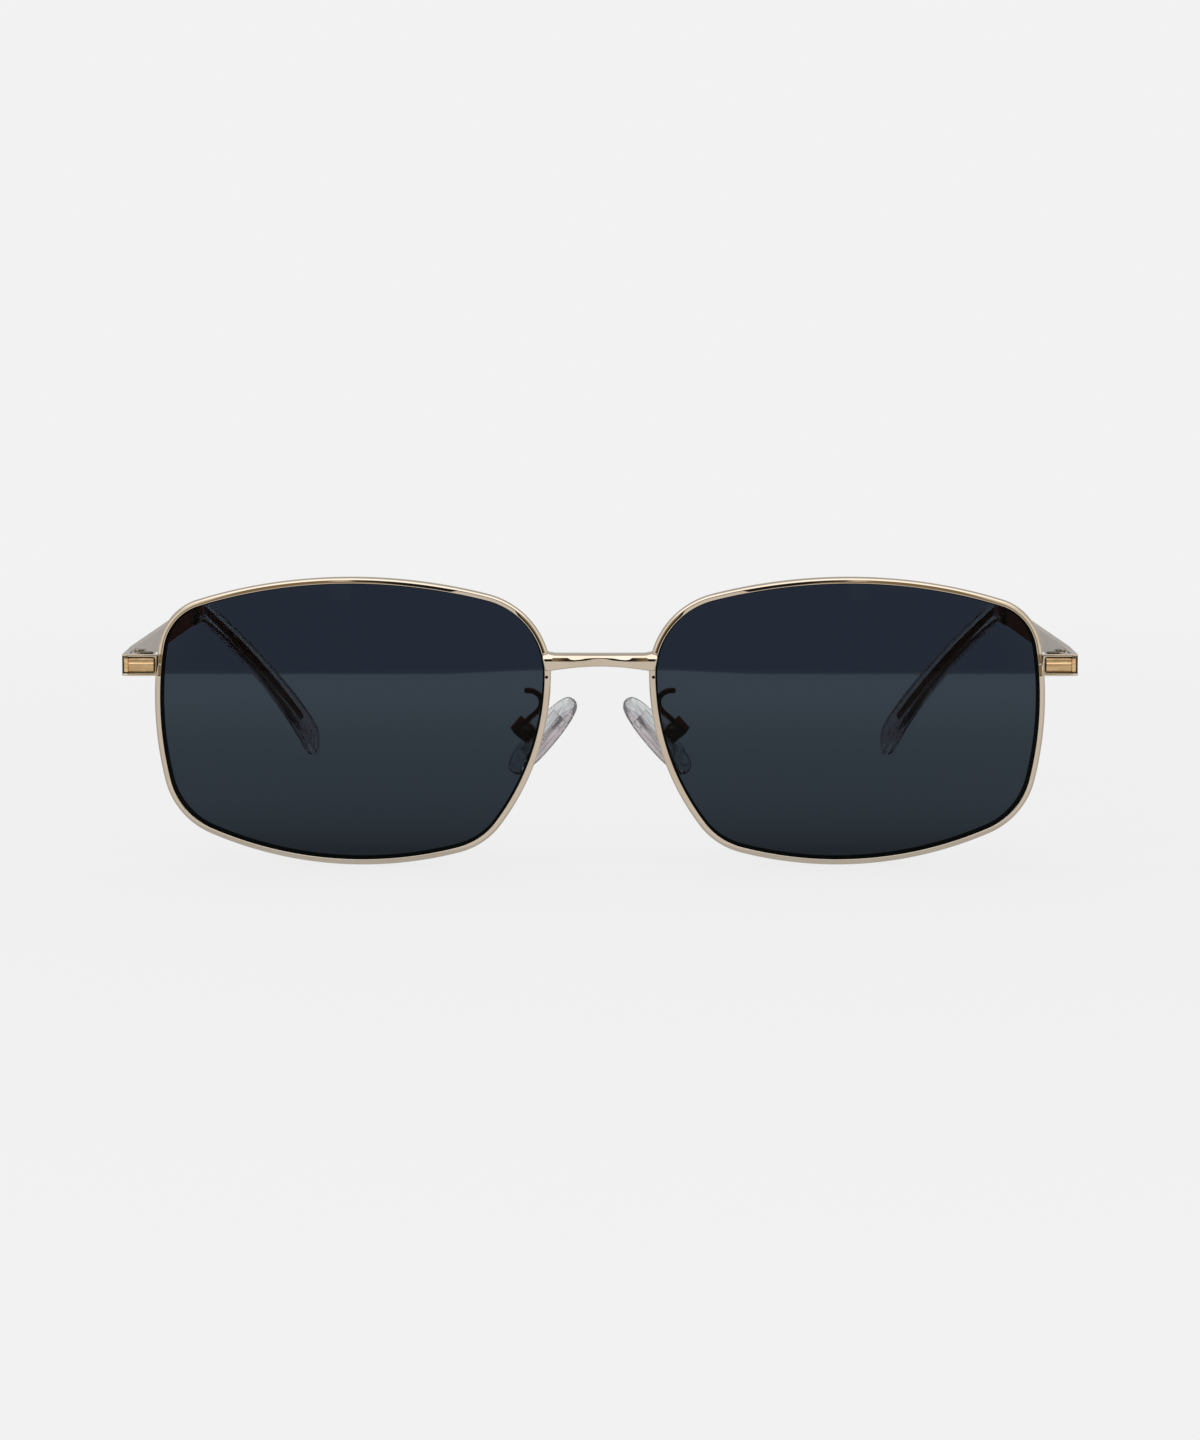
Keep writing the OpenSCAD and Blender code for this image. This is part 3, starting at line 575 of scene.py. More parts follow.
def makeRim():
    s, r = lensSettings, rimSettings
    arcs = outlineArcs()
    centre, radius, start, sweep = arcs[6]  # the temple side, which holds the split
    first, last = r["splitAngle"] + r["splitHalf"], r["splitAngle"] - r["splitHalf"]
    run = [(centre, radius, first, start + sweep - first), *arcs[7:], *arcs[:6],
           (centre, radius, start, last - start)]
    front, back = -r["proud"], r["depth"] - r["proud"]
    mid = s["thickness"] / 2
    section = [(0, front), *((out, front + deep) for out, deep in r["shoulder"]),
               (r["width"], back), (0, back),
               (0, mid + r["grooveHalf"]), (s["groove"], mid), (0, mid - r["grooveHalf"])]
    bm = bmesh.new()
    at = (Matrix.Translation((centre.x, 0, centre.y))
          @ Matrix.Rotation(-math.radians(first), 4, "Y"))
    face = polygon(bm, [at @ Vector((radius + out, deep, 0)) for out, deep in section])
    corners = list(face.verts)
    for picked, offset, segments in ((corners[:1], r["frontLip"], 4), (corners[1:4], r["soft"], 3),
                                     (corners[4:5], r["edge"], 5), (corners[5:6], r["lip"], 3)):
        bmesh.ops.bevel(bm, geom=picked, offset=offset, segments=segments, profile=0.5,
                        affect="VERTICES", material=-1)
    lastRing = freshEdges(spinAlong(bm, [*bm.edges, *bm.verts], run))
    bmesh.ops.contextual_create(bm, geom=lastRing)

    def polish(p):
        share = interpolate(p.x, r["twistAt"])
        if share and p.z > 0 and p.y < front + r["frontLip"] + r["twistReach"]:
            fall = max(0, r["shoulder"][0][0] - outward(p, arcs))
            return p + Vector((0, share * math.tan(math.radians(r["twist"])) * fall, 0))
        return p

    bend(bm, polish)
    bend(bm, onShell)
    tool = bmesh.new()
    polygon(tool, [(x, r["lapFrom"], z) for x, z in r["lapCut"]])
    thicken(tool, r["lapTo"] - r["lapFrom"])
    return carved(bm, tool)


def makeLens():
    s = lensSettings
    arcs = outlineArcs()
    bm = bmesh.new()
    centre, radius, angle, _ = arcs[0]
    start = centre + (radius - s["fit"]) * heading(angle)
    spinAlong(bm, [bm.verts.new((start.x, 0, start.y))], arcs)
    bmesh.ops.remove_doubles(bm, verts=bm.verts, dist=0.01)
    edges = list(bm.edges)
    size = 1
    for share in s["rings"]:
        made = bmesh.ops.extrude_edge_only(bm, edges=edges)["geom"]
        edges = freshEdges(made)
        bmesh.ops.scale(bm, vec=(share / size, 1, share / size), verts=freshVerts(made))
        size = share
    capRing(bm, edges)
    thicken(bm, s["thickness"])
    bmesh.ops.recalc_face_normals(bm, faces=bm.faces)
    wall = [e for e in bm.edges if abs(e.verts[0].co.y - e.verts[1].co.y) > 1]
    bmesh.ops.subdivide_edges(bm, edges=wall, cuts=s["wallCuts"], use_grid_fill=True)
    bm.normal_update()
    for v in bm.verts:
        if abs(v.co.y - s["thickness"] / 2) < 0.01:  # the V edge, which fills the groove
            v.co += s["groove"] * v.normal
    for f in bm.faces:  # the ground wall takes the second finish
        f.material_index = int(max(v.co.y for v in f.verts) - min(v.co.y for v in f.verts) > 0.1)
    bend(bm, onShell)
    return bm


bridgeSettings = {
    "half": 0.975, "depth": 2.3, "bow": 0.5, "lapDepth": 0.9, "backEdge": 0.3,
    "z": 31.9396, "front": -1.1011 - middleY, "barEnd": 7.3605, "lapEnd": 8.6632,
    "offset": 0.05,  # how far the front lies behind the solid's
    # the polished front is a hollow-ground run of leans, in degrees from upright, whose breaks
    # wander along the bar: (place, height)
    "lightFrom": ((0, 0.69), (9, 0.67)),
    "darkFrom": ((0, 0.37), (1.2, 0.35), (2.1, 0.28), (3.0, 0.1), (3.9, 0.03), (4.5, 0.1),
                 (4.9, 0.36), (6.9, 0.36), (7.3, 0.16), (9, 0.14)),
    "darkTo": ((0, 0.27), (0.9, 0.2), (2.1, -0.04), (3.9, -0.2), (9, -0.22)),
    "leans": {"top": 75, "shoulder": 50, "light": 25, "dark": -1, "face": -6, "low": -13,
              "under": -28, "lowEdge": -52, "bottom": -80},
    "topEdge": 0.08, "lowEdge": 0.1, "under": 0.24, "lowReach": 0.28,
    "darkSoft": 0.02, "lightSoft": 0.03,  # half the height over which a lean changes
    "arch": 0.7, "archFrom": -0.4,  # the arch lowers what lies below this height
    "web": 0.34, "webAt": 7.76, "webReach": 1.1, "webFrom": 0.5,  # small fillets up into the rims
    "lapSlant": 0.4, "slantFrom": 0.3, "lapFoot": 0.6,
    "rows": 39, "row": 0.05, "topRow": 0.01, "columns": 48,
    # sections of the lap: distance past the bar's end, then (distance from the lap's end, size)
    "lapColumns": (0.02, 0.2, 0.45, 0.7, 0.9),
    "lapRounding": ((0.3, 1), (0.2, 0.99), (0.1, 0.965), (0.04, 0.93), (0, 0.86)),
}


def bridgeLeans(x, s=bridgeSettings):  # (height, lean) up the front at one place
    lean, half, soft, wide = s["leans"], s["half"], s["darkSoft"], s["lightSoft"]
    low, high, light = (interpolate(x, s[name]) for name in ("darkTo", "darkFrom", "lightFrom"))
    return ((-half, lean["bottom"]), (-half + s["lowEdge"], lean["lowEdge"]),
            (-half + s["under"], lean["under"]), (low - s["lowReach"], lean["low"]),
            (low - soft, lean["face"]), (low + soft, lean["dark"]),
            (high - soft, lean["dark"]), (high + soft, lean["light"]),
            (light - wide, lean["light"]), (light + wide, lean["shoulder"]),
            (half - s["topEdge"], lean["shoulder"]), (half, lean["top"]))


def bridgeRelief(x, heights, parts=6):  # (height, depth behind the foremost line)
    stops = bridgeLeans(x)
    depth, table, last = 0, [], heights[0]
    for z in heights:
        for i in range(parts):
            at = last + (z - last) * (i + 0.5) / parts
            depth += math.tan(math.radians(interpolate(at, stops))) * (z - last) / parts
        table.append(depth)
        last = z
    nearest = min(table)
    return [(z, deep - nearest) for z, deep in zip(heights, table)]


def makeBridge():
    s = bridgeSettings
    up, bar, lap, edge = s["half"], s["barEnd"], s["lapEnd"], s["backEdge"]
    heights = [round(-up + s["row"] * i, 3) for i in range(s["rows"])]
    heights.append(round(up - s["topRow"], 3))
    section = [(0, z) for z in heights]
    section += [(s["lapDepth"], up), (s["depth"] - edge, up), (s["depth"], up - edge),
                (s["depth"], -up + edge), (s["depth"] - edge, -up), (s["lapDepth"], -up)]
    bm = bmesh.new()
    polygon(bm, [(0, y, z) for y, z in section])
    edges = list(bm.edges)
    bmesh.ops.delete(bm, geom=bm.faces[:], context="FACES_ONLY")
    half = [bar * i / s["columns"] for i in range(s["columns"] + 1)]
    tail = [bar + d for d in s["lapColumns"]] + [lap - d for d, _ in s["lapRounding"]]
    xs = [-x for x in reversed(tail)] + [-x for x in reversed(half[1:])] + half + tail
    spans = [Matrix.Translation((x, 0, 0)) for x in xs]
    bmesh.ops.transform(bm, matrix=spans[0], verts=bm.verts)
    lastRing = sweepRing(bm, edges, spans)
    capRing(bm, lastRing)
    capRing(bm, edges)
    shrink = [(lap - d, k) for d, k in s["lapRounding"]]
    relief = [(x, bridgeRelief(abs(x), heights)) for x in xs]

    def shape(p):
        x, y, z = abs(p.x), p.y, p.z
        part = min(1, x / bar)
        if y < 0.1:  # the front
            y = s["offset"] + interpolate(z, min(relief, key=lambda r: abs(r[0] - p.x))[1])
        drop = s["arch"] * interpolate(z, ((-up, 1), (s["archFrom"], 0)))
        if z > s["webFrom"]:
            rise = max(0, 1 - abs(s["webAt"] - x) / s["webReach"])
            z += s["web"] * rise ** 2 * (z - s["webFrom"]) / (up - s["webFrom"])
        z -= drop * part ** 2
        across = p.x
        if x > bar + 0.01:  # the lap
            k = interpolate(x, shrink)
            y = s["lapDepth"] - (s["lapDepth"] - min(y, s["lapDepth"])) * k
            z = z * k if z > 0 else z + (1 - k) * s["lapFoot"]
            slant = s["lapSlant"] * max(0, s["slantFrom"] - z) / 2 * (x - bar) / (lap - bar)
            across -= math.copysign(slant, across)
        elif y > 1.2:  # the back
            y += s["bow"] * 0.5 * (1 - part ** 2)
        return Vector((across, s["front"] - s["bow"] * (1 - part ** 2) + y, s["z"] + z))

    bend(bm, shape)
    return bm


plateShape = {
    "inner": 67.703, "outer": 72.565, "low": 29.29, "high": 31.79,
    "front": 5.034 - middleY, "thick": 0.35,
    "fold": 71.765, "facetFall": 0.5,  # beyond the fold the face falls back: mm for each mm
    "gap": 0.11, "outerGap": 0.03, "corner": 0.32, "edge": 0.1, "seam": 0.09,
    # relief of the face as (height as a share, depth), and where its mesh is cut
    "relief": ((0, 0.16), (0.06, 0.21), (0.12, 0.22), (0.54, 0.0), (0.56, 0.01), (0.68, 0.14),
               (0.7, 0.16), (0.84, 0.11), (0.87, 0.12), (0.96, 0.2), (1, 0.2)),
    "rows": (0.03, 0.06, 0.12, 0.3, 0.42, 0.54, 0.56, 0.62, 0.68, 0.7, 0.77, 0.84, 0.87,
             0.92, 0.96),
    "columns": (68.3, 69, 70, 71),
}


def makePlate(s=plateShape):
    bm = bmesh.new()
    low, high = s["low"] + s["gap"], s["high"] - s["gap"]
    inner, outer = s["inner"] + s["gap"], s["outer"] - s["outerGap"]
    corners = ((inner, low), (outer, low), (outer, high), (inner, high))
    face = polygon(bm, [(x, s["front"], z) for x, z in corners])
    bmesh.ops.bevel(bm, geom=list(face.verts), offset=s["corner"], segments=6, profile=0.5,
                    affect="VERTICES", material=-1)
    thicken(bm, s["thick"])
    bmesh.ops.recalc_face_normals(bm, faces=bm.faces)
    rim = [e for e in bm.edges if all(abs(v.co.y - s["front"]) < 1e-4 for v in e.verts)]
    bmesh.ops.bevel(bm, geom=rim, offset=s["edge"], segments=4, profile=0.5, affect="EDGES",
                    material=-1)
    cuts = [((0, 0, low + share * (high - low)), (0, 0, 1)) for share in s["rows"]]
    cuts += [((s["fold"] + d, 0, 0), (1, 0, 0)) for d in (-s["seam"], 0, s["seam"])]
    cuts += [((x, 0, 0), (1, 0, 0)) for x in s["columns"]]
    for at, way in cuts:
        bmesh.ops.bisect_plane(bm, geom=[*bm.verts, *bm.edges, *bm.faces], plane_co=at,
                               plane_no=way, dist=1e-4)

    def shape(p):
        fall = s["facetFall"] * max(0, p.x - s["fold"])
        front = 1 - (p.y - s["front"]) / s["thick"]
        seam = s["seam"] * max(0, 1 - abs(p.x - s["fold"]) / s["seam"])
        facet = max(0, min(1, (p.x - s["fold"]) / s["seam"]))  # the slanted facet has no relief
        sink = interpolate((p.z - low) / (high - low), s["relief"]) * (1 - facet) + seam
        return p + Vector((0, fall + sink * max(0, front), 0))

    bend(bm, shape)
    return bm


tipSettings = {
    "path": [Vector((68.8185, 97.2447 - middleY, 30.5396)),
             Vector((68.4983, 104.58 - middleY, 30.5396)),
             Vector((53.4395, 121.32 - middleY, 12.3192)),
             Vector((51.9185, 142.245 - middleY, 0.9129))],
    "height": 3.5, "thick": 2.2, "endHeight": 5.2, "endThick": 2.8, "waist": 0.6,
    "sides": 56, "square": 0.5, "steps": 56,
    # the straight sleeve ahead of the path: (distance from its mouth, size)
    "sleeve": 10, "gap": 0.03,
    "sleeveRings": ((0, 0.9), (0.08, 0.97), (0.25, 1), (3, 1), (6, 1), (8.5, 1)),
    "endFrom": 0.88, "endAt": 0.995, "endBlunt": 2.6, "endSteps": 14, "endLeast": 0.05,
    "coreRadius": 0.55, "coreReach": 0.8, "coreGap": 0.06, "coreSides": 20, "coreSteps": 40,
    "coreEnd": ((0.12, 0.93), (0.2, 0.75)),
}


def ovalRing(bm, count, square):
    bmesh.ops.create_circle(bm, cap_ends=False, segments=count, radius=1)
    for v in bm.verts:
        v.co.x = 0.5 * math.copysign(abs(v.co.x) ** square, v.co.x)
        v.co.y = 0.5 * math.copysign(abs(v.co.y) ** square, v.co.y)


def tubeAlong(count, square, steps):  # closed at both ends
    bm = bmesh.new()
    ovalRing(bm, count, square)
    first = list(bm.edges)
    bmesh.ops.transform(bm, matrix=steps[0], verts=bm.verts)
    capRing(bm, sweepRing(bm, first, steps))
    capRing(bm, first)
    return bm


def tipSize(t, s=tipSettings):
    return (s["thick"] + (s["endThick"] - s["thick"]) * t * t,
            s["height"] + (s["endHeight"] - s["height"]) * t * t - 4 * s["waist"] * t * (1 - t))


def makeTip():
    s = tipSettings
    path = s["path"]
    back = path[1] - path[0]
    mouth = path[0] - (s["sleeve"] - s["gap"]) * back.normalized()
    run = [(mouth + d * back.normalized(), back, 0, k) for d, k in s["sleeveRings"]]
    run += [(curvePoint(path, t), curveSlope(path, t), t, 1)
            for t in (s["endFrom"] * i / s["steps"] for i in range(s["steps"] + 1))]
    for i in range(1, s["endSteps"] + 1):
        part = math.sin(math.radians(90 * i / s["endSteps"]))
        t = s["endFrom"] + (s["endAt"] - s["endFrom"]) * part
        k = (1 - part ** s["endBlunt"]) ** (1 / s["endBlunt"])
        run.append((curvePoint(path, t), curveSlope(path, t), t, max(s["endLeast"], k)))
    steps = [facing(at, way, *(k * v for v in tipSize(t))) for at, way, t, k in run]
    return tubeAlong(s["sides"], s["square"], steps)


def makeCore():
    s = tipSettings
    path = s["path"]
    back = path[1] - path[0]
    run = [(path[0] - (s["sleeve"] - s["coreGap"]) * back.normalized(), back, 1)]
    for i in range(s["coreSteps"] + 1):
        t = s["coreReach"] * i / s["coreSteps"]
        run.append((curvePoint(path, t), curveSlope(path, t), 1))
    end, way = run[-1][0], run[-1][1].normalized()
    run += [(end + d * way, way, k) for d, k in s["coreEnd"]]
    size = 2 * s["coreRadius"]
    steps = [facing(at, way, size * k, size * k) for at, way, k in run]
    return tubeAlong(s["coreSides"], 1, steps)


padSettings = {
    "centre": Vector((8.6, 8.4 - middleY, 19.3396)), "splay": 20,
    "length": 14.6, "width": 7.2, "thick": 2.5, "around": 72,
    "egg": 0.1, "ends": 0.9,  # how much wider the lower end is, and how blunt both ends are
    # sections from the back to the crown: (depth as a share, size)
    "layers": ((-0.5, 0.1), (-0.497, 0.22), (-0.48, 0.42), (-0.45, 0.6), (-0.4, 0.74),
               (-0.33, 0.85), (-0.24, 0.92), (-0.12, 0.975), (0, 1), (0.14, 0.998), (0.28, 0.98),
               (0.38, 0.94), (0.45, 0.88), (0.49, 0.8), (0.5, 0.72)),
    "lipSize": (0.93, 0.96), "dish": 0.14, "dishSize": (0.8, 0.9),
}


def padPlace(s=padSettings):
    return (Matrix.Translation(s["centre"]) @ Matrix.Rotation(-math.radians(padLean), 4, "Y")
            @ Matrix.Rotation(-math.radians(s["splay"]), 4, "Z"))


tabSettings = {"from": 0.5, "height": -1.1, "bore": 0.46, "half": 0.7, "reach": 0.05, "slim": 0.14}


def slimTab(p, sign, s=tabSettings):
    # the insert's tab tapers, so that it rocks clear of the mouth of its box
    flip = Matrix.Diagonal((sign, 1, 1, 1))
    q = padPlace().inverted() @ (flip @ p)
    high = q.z - s["height"]
    if q.x > s["from"] and s["bore"] < abs(high) < s["half"] + s["reach"]:
        share = min(1, (abs(high) - s["bore"]) / (s["half"] - s["bore"]))
        q.z = s["height"] + high * (1 - s["slim"] * share)
    return flip @ (padPlace() @ q)


def makePad():
    s = padSettings
    bm = bmesh.new()
    bmesh.ops.create_circle(bm, cap_ends=False, segments=s["around"], radius=1)
    for v in bm.verts:  # egg outline in the pad's own plane
        across, up = v.co.x, v.co.y
        v.co.x = 0
        v.co.y = across * s["width"] / 2 * (1 - s["egg"] * up)
        v.co.z = math.copysign(abs(up) ** s["ends"], up) * s["length"] / 2
    first = list(bm.edges)
    steps = []
    for deep, share in s["layers"]:
        tall = 1 - (1 - share) * s["width"] / s["length"]
        size = Matrix.Diagonal((1, share, tall, 1))
        steps.append(Matrix.Translation((deep * s["thick"], 0, 0)) @ size)
    bmesh.ops.transform(bm, matrix=steps[0], verts=bm.verts)
    lastRing = sweepRing(bm, first, steps)
    lip = Matrix.Diagonal((1, *s["lipSize"], 1))
    dish = Matrix.Translation((-s["dish"], 0, 0)) @ Matrix.Diagonal((1, *s["dishSize"], 1))
    lastRing = sweepRing(bm, lastRing, [Matrix.Identity(4), lip, dish])
    capRing(bm, lastRing)
    capRing(bm, first)
    bmesh.ops.transform(bm, matrix=padPlace(), verts=bm.verts)
    return bm


armSettings = {
    "radius": 0.43, "sides": 16,
    "root": Vector((8.95686, 2.97311 - middleY, 25.3396)),
    "foot": Vector((11.2478, 7.06612 - middleY, 21.8798)),
    "tail": Vector((2.4, 1.4, 1.5)),
    # how the wire sets off from each end of its two curves
    "rootDown": Vector((-0.05, 0.5, -1.5)), "footUp": 1.5,
    "tailIn": Vector((-1.1, -0.6, 0.25)), "rootUp": Vector((0.05, -0.05, 1.2)),
    "hookSteps": 18, "downSteps": 30, "tipRings": ((0.05, 0.8), (0.02, 0.94)),
}


def makeArm():
    s = armSettings
    root, foot = s["root"], s["foot"]
    tail = root + s["tail"]
    lean = math.radians(padLean)
    rise = s["footUp"] * Vector((-math.sin(lean), 0, math.cos(lean)))
    down = [root, root + s["rootDown"], foot + rise, foot]
    hook = [tail, tail + s["tailIn"], root + s["rootUp"], root]
    run = []
    for path, count, last in ((hook, s["hookSteps"], 0), (down, s["downSteps"], 1)):
        run += [(curvePoint(path, i / count), curveSlope(path, i / count), 1)
                for i in range(count + last)]
    tip, way = run[0][0], -run[0][1].normalized()
    run = [(tip + d * way, -way, k) for d, k in s["tipRings"]] + run
    size = 2 * s["radius"]
    steps = [facing(at, way, size * k, size * k, Vector((0, 1, 0))) for at, way, k in run]
    return tubeAlong(s["sides"], 1, steps)


machinedSettings = {  # node: (name, rides on, finish, width of the edge rounding)
    "end_piece": ("EndPiece", "front", "endPiece", 0.12),
    "upper_closing_block": ("UpperClosingBlock", "front", "hinge", 0.1),
    "lower_closing_block": ("LowerClosingBlock", "front", "hinge", 0.1),
    # the closing screw takes the finish with painted shade
    "closing_screw": ("ClosingScrew", "front", "sunkScrewShade", 0.06),
    "front_hinge": ("FrontHinge", "front", "hinge", 0.08),
    "temple_hinge": ("TempleHinge", "temple", "hinge", 0.08),
    "hinge_screw": ("HingeScrew", "front", "screw", 0.06),
    "temple": ("TempleStrip", "temple", "temple", 0.16),
    "pad_box": ("PadBox", "front", "wire", 0.09),
    "pad_screw": ("PadScrew", "front", "screw", 0.05),
    "pad_insert": ("PadInsert", "pad", "insert", 0.1),
}


softSettings = {"merge": 0.002, "flat": 0.5, "sharp": 38, "segments": 3}


def softened(node, width, s=softSettings):  # the solid with its sharp edges rounded
    bm = bmesh.new()
    bm.from_mesh(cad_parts[node].data)
    bmesh.ops.scale(bm, vec=(1000, 1000, 1000), verts=bm.verts)
    bmesh.ops.remove_doubles(bm, verts=bm.verts, dist=s["merge"])
    bmesh.ops.dissolve_limit(bm, angle_limit=math.radians(s["flat"]), verts=bm.verts,
                             edges=bm.edges, use_dissolve_boundaries=False)
    least = math.radians(s["sharp"])
    sharp = [e for e in bm.edges if e.is_manifold and e.calc_face_angle() > least]
    bmesh.ops.bevel(bm, geom=sharp, offset=width, segments=s["segments"], profile=0.5,
                    affect="EDGES", material=-1, clamp_overlap=True)
    return bm


studioSettings = {
    "white": 0.8879,  # the background of the photograph, as a linear value
    "floorSize": 6, "paper": (0.86, 0.8), "fibre": 0.0011, "fibreShare": 0.06,
    "shade": 0.12, "shadeRange": (0.12, 0.45),  # share of the floor's shading that is seen
    # what the lenses show of the paper behind the frame, with a painted shadow of the frame: its
    # level over this range in metres
    "lensPlane": -0.0715, "behindRange": 0.25,
    "frameShadowStops": ((0.0, 0.3), (0.084, 0.36), (0.19, 0.54), (0.34, 0.69), (0.55, 0.75),
                    (0.76, 0.87), (0.94, 1.0), (1.0, 1.0)),
    "inFront": (0.0705, 0.0725),  # where the floor in front of the frame begins
    "openMiddle": (0.009, 0.0115),  # between them, and through the pads, the paper is fully lit
    # the paper ends in the dim room, a little further off in the middle
    "paperEnd": 0.2095, "paperSoft": 0.0025, "paperRise": 0.008, "riseRange": (0.012, 0.036),
    "room": (0.495, 0.489, 0.58),
    # what polished metal shows: the floor, and in front of it the edge of a black cloth
    "floorBehind": 0.45, "floorInFront": (0.62, 0.595, 0.57),
    "darkCentre": 0.079, "darkRadius": 0.315, "darkSoft": 0.004, "darkFrom": (0.05, 0.1),
    # the cloth, then brown wood and the pale room: (sine of the direction to the side, colour)
    "floorCloth": ((0.0, (0.012, 0.01, 0.008)), (0.13, (0.012, 0.01, 0.008)),
                   (0.18, (0.22, 0.165, 0.095)), (0.5, (0.22, 0.165, 0.095)),
                   (0.6, (0.75, 0.72, 0.66)), (1.0, (0.75, 0.72, 0.66))),
    # the same above the floor, with a pale gap beside the cloth
    "clothStops": ((0.0, (0.012, 0.01, 0.008)), (0.212, (0.012, 0.01, 0.008)),
                   (0.225, (0.6, 0.5, 0.43)), (0.255, (0.6, 0.5, 0.43)),
                   (0.275, (0.2, 0.15, 0.085)), (0.5, (0.2, 0.15, 0.085)),
                   (0.6, (0.75, 0.72, 0.66)), (1.0, (0.75, 0.72, 0.66))),
    "frontRange": (0.15, 0.35), "around": 0.45,
    # a strip light in front: its level, and the sines of its lower and upper edge
    "strip": 1.25, "stripLow": 0.44, "stripHigh": 0.88, "stripSoft": 0.06,
    # what metal behind a lens shows, which is painted shade, and what light keeps after a bounce
    # inside clear plastic
    "metalShadeBehindGlass": (0.3, 0.047, 0.028), "metalShadeBehindGlassAhead": (0.03, 0.008, 0.006),
    "asideRange": (0.4, 0.7),
    "insidePlastic": (0.85, 0.72, 0.74), "plasticSide": 0.76, "plasticRange": (0.3, 0.7),
    "ambient": 0.62, "softbox": 1.4, "softboxPower": 7,
    "softboxAt": (-0.35, -0.25, 1.3), "softboxAim": (0, -0.03, 0.02),
}


def lightPath(p):
    ray = p.add("ShaderNodeLightPath", out="Is Camera Ray")
    through, glossy, glassDepth, mirrorDepth = (Wire(p, ray.socket.node.outputs[name]) for name in (
        "Is Transmission Ray", "Is Glossy Ray", "Transmission Depth", "Glossy Depth"))
    mirrorRay = glossy * (1 - through)
    behind = p.maths("SUBTRACT", glassDepth, 1, clamp=True)  # 1 past both faces of a lens
    inside = p.maths("MINIMUM", mirrorDepth, 1)  # 1 after a bounce inside clear plastic
    return ray, through, mirrorRay, behind, inside


def chooseLight(p, s, through, behind, inside, front, aside, mirrorColour, glassColour):
    # what a ray shows that metal sent, and what a ray shows that passed glass
    # painted shade: metal seen through a lens shows a dark room, darker still to the front and
    # sides
    dark = p.maths("MAXIMUM", front, p.step(aside, *s["asideRange"]))
    dim = p.mix(dark, colour(*s["metalShadeBehindGlass"]), colour(*s["metalShadeBehindGlassAhead"]))
    mirrorColour = p.mix(behind, mirrorColour, dim)
    glassColour = p.mix(inside, glassColour, colour(*s["insidePlastic"]), "MULTIPLY")
    return p.mix(through, mirrorColour, glassColour)


def ramp(p, value, stops):
    return p.add("ShaderNodeValToRGB", {"stops": stops}, {"Fac": value})


def makeFloor(s):
    bm = bmesh.new()
    bmesh.ops.create_grid(bm, x_segments=1, y_segments=1, size=s["floorSize"])
    floor = meshed("paleFloor", bm)
    material, p = newFinish("palePaper")
    where = p.add("ShaderNodeTexCoord", out="Object")
    ray, through, mirrorRay, behind, inside = lightPath(p)
    across, y = p.size(p.part(where, "X")), p.part(where, "Y")
    ahead = y * -1.0
    far = p.vector("LENGTH", where, out="Value")
    # metal: paper on all sides, black cloth in front
    reach = p.vector("LENGTH", p.vector("ADD", where, (0, -s["darkCentre"], 0)), out="Value")
    cloth = p.step(reach, s["darkRadius"] - s["darkSoft"], s["darkRadius"] + s["darkSoft"])
    cloth = cloth * p.step(ahead, *s["darkFrom"])
    inFront = p.step(ahead, *s["inFront"])
    mirrorColour = p.mix(inFront, grey(s["floorBehind"]), colour(*s["floorInFront"]))
    mirrorColour = p.mix(cloth, mirrorColour, ramp(p, across / reach, s["floorCloth"]))
    # glass: paper behind the frame, with a painted shadow of the frame close to it, and ends in the
    # dim room
    place = p.step(y, s["lensPlane"], s["lensPlane"] + s["behindRange"], smooth=False)
    level = ramp(p, place, [(at, (v, v, v)) for at, v in s["frameShadowStops"]])
    level = p.mix(inFront, level, grey(1.0))
    level = p.mix(p.step(across, *s["openMiddle"]), grey(1.0), level)
    past = y - s["paperRise"] * (1 - p.step(across, *s["riseRange"]))
    ended = p.step(past, s["paperEnd"] - s["paperSoft"], s["paperEnd"] + s["paperSoft"])
    level = p.mix(ended, level, colour(*s["room"]))
    glassColour = p.mix(1.0, level, grey(s["white"]), "MULTIPLY")
    picked = chooseLight(p, s, through, behind, inside, inFront, across / far, mirrorColour,
                         glassColour)
    # the camera: plain white with a little of the paper's own shading near the frame
    pale, deep = s["paper"]
    paper = p.mix(p.noise(where, s["fibre"], 3) * s["fibreShare"], grey(pale), grey(deep))
    near = 1 - p.step(far, *s["shadeRange"])
    diffuse = p.add("ShaderNodeBsdfDiffuse", None, {"Color": paper})
    plain = p.add("ShaderNodeEmission", None, {"Color": grey(1), "Strength": s["white"]})
    seen = p.blend(s["shade"] * near, plain, diffuse)
    sent = p.add("ShaderNodeEmission", None, {"Color": picked})
    shown = p.blend(p.maths("MAXIMUM", mirrorRay, through), p.blend(ray, diffuse, seen), sent)
    p.add("ShaderNodeOutputMaterial", None, {"Surface": shown})
    floor.data.materials.append(material)


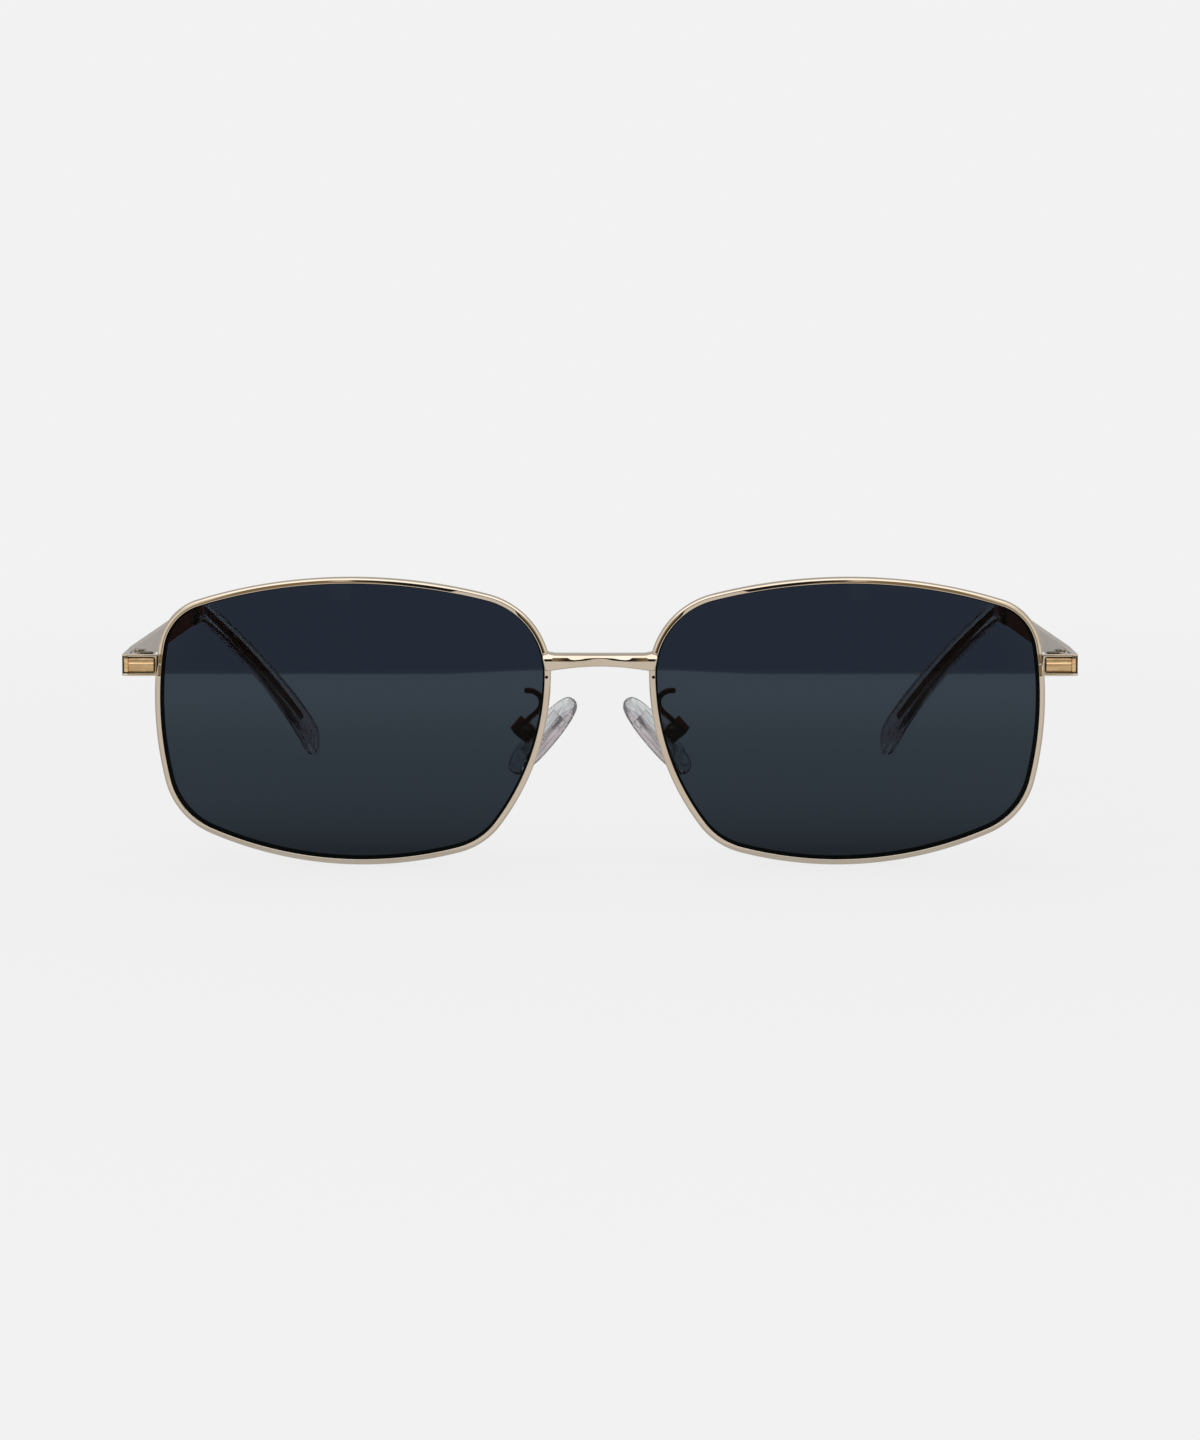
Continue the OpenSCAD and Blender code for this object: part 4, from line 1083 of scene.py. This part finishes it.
def makeWorld(s):
    world = bpy.data.worlds.new("softStudio")
    bpy.context.scene.world = world
    world.use_nodes = True
    p = Paint(world.node_tree)
    ray, through, mirrorRay, behind, inside = lightPath(p)
    way = p.add("ShaderNodeTexCoord", out="Generated")
    x, y, up = (p.part(way, axis) for axis in "XYZ")
    aside = p.size(x)
    front = p.step(y * -1.0, *s["frontRange"])
    aboveLow = p.step(up, s["stripLow"], s["stripLow"] + s["stripSoft"])
    aboveHigh = p.step(up, s["stripHigh"], s["stripHigh"] + s["stripSoft"])
    sky = p.mix(front * aboveLow * (1 - aboveHigh), grey(s["around"]), grey(s["strip"]))
    mirrorColour = p.mix(front * (1 - aboveLow), sky, ramp(p, aside, s["clothStops"]))
    glassColour = p.mix(p.step(y, *s["plasticRange"]), grey(s["plasticSide"]), grey(s["white"]))
    picked = chooseLight(p, s, through, behind, inside, front, aside, mirrorColour, glassColour)
    level = p.mix(p.maths("MAXIMUM", mirrorRay, through), grey(s["ambient"]), picked)
    light = p.add("ShaderNodeBackground", None, {"Color": p.mix(ray, level, grey(s["white"]))})
    p.add("ShaderNodeOutputWorld", None, {"Surface": light})


def makeLamp(s):
    data = bpy.data.lights.new("softbox", "AREA")
    data.shape = "RECTANGLE"
    data.size, data.size_y = s["softbox"], s["softbox"]
    data.energy = s["softboxPower"]
    lamp = linked("softbox", data)
    lamp.location = s["softboxAt"]
    lamp.visible_glossy = False  # polished metal shows the world's own strip light instead
    aim = Vector(s["softboxAim"]) - lamp.location
    lamp.rotation_euler = aim.to_track_quat("-Z", "Y").to_euler()


bpy.context.scene.view_settings.view_transform = "Standard"
makeCamera(cameraSettings)
makeWorld(studioSettings)
makeLamp(studioSettings)
makeFloor(studioSettings)
print("stage: studio set")

finishes = makeFinishes()
addPair("RimWire", makeRim(), "front", "rim", finishes["rim"])
addPair("LensShell", makeLens(), "front", "lens", finishes["lens"], 25)
print("stage: rims and lenses")
addPiece("bridgeBar", makeBridge(), "front", ["bridge"], finishes["bridge"], 30)
addPair("EndPlate", makePlate(), "front", "end_plate", finishes["endPlate"], 40)
addPair("TipBody", makeTip(), "temple", "tip", finishes["tip"], 60)
addPair("CoreWire", makeCore(), "temple", "core_wire", finishes["core"], 60)
print("stage: bridge, plates and tips")
addPair("PadBody", makePad(), "pad", "nose_pad", finishes["pad"], 60)
addPair("PadArm", makeArm(), "front", "pad_arm", finishes["wire"], 60)
print("stage: pads and arms")
for node, (name, body, finish, width) in machinedSettings.items():
    for side, sign in sides:
        shape = softened(f"{side}_{node}", width)
        if node == "pad_insert":
            bend(shape, lambda p: slimTab(p, sign))
        addSide(side, name, shape, body, node, finishes[finish])
print("stage: machined pieces")
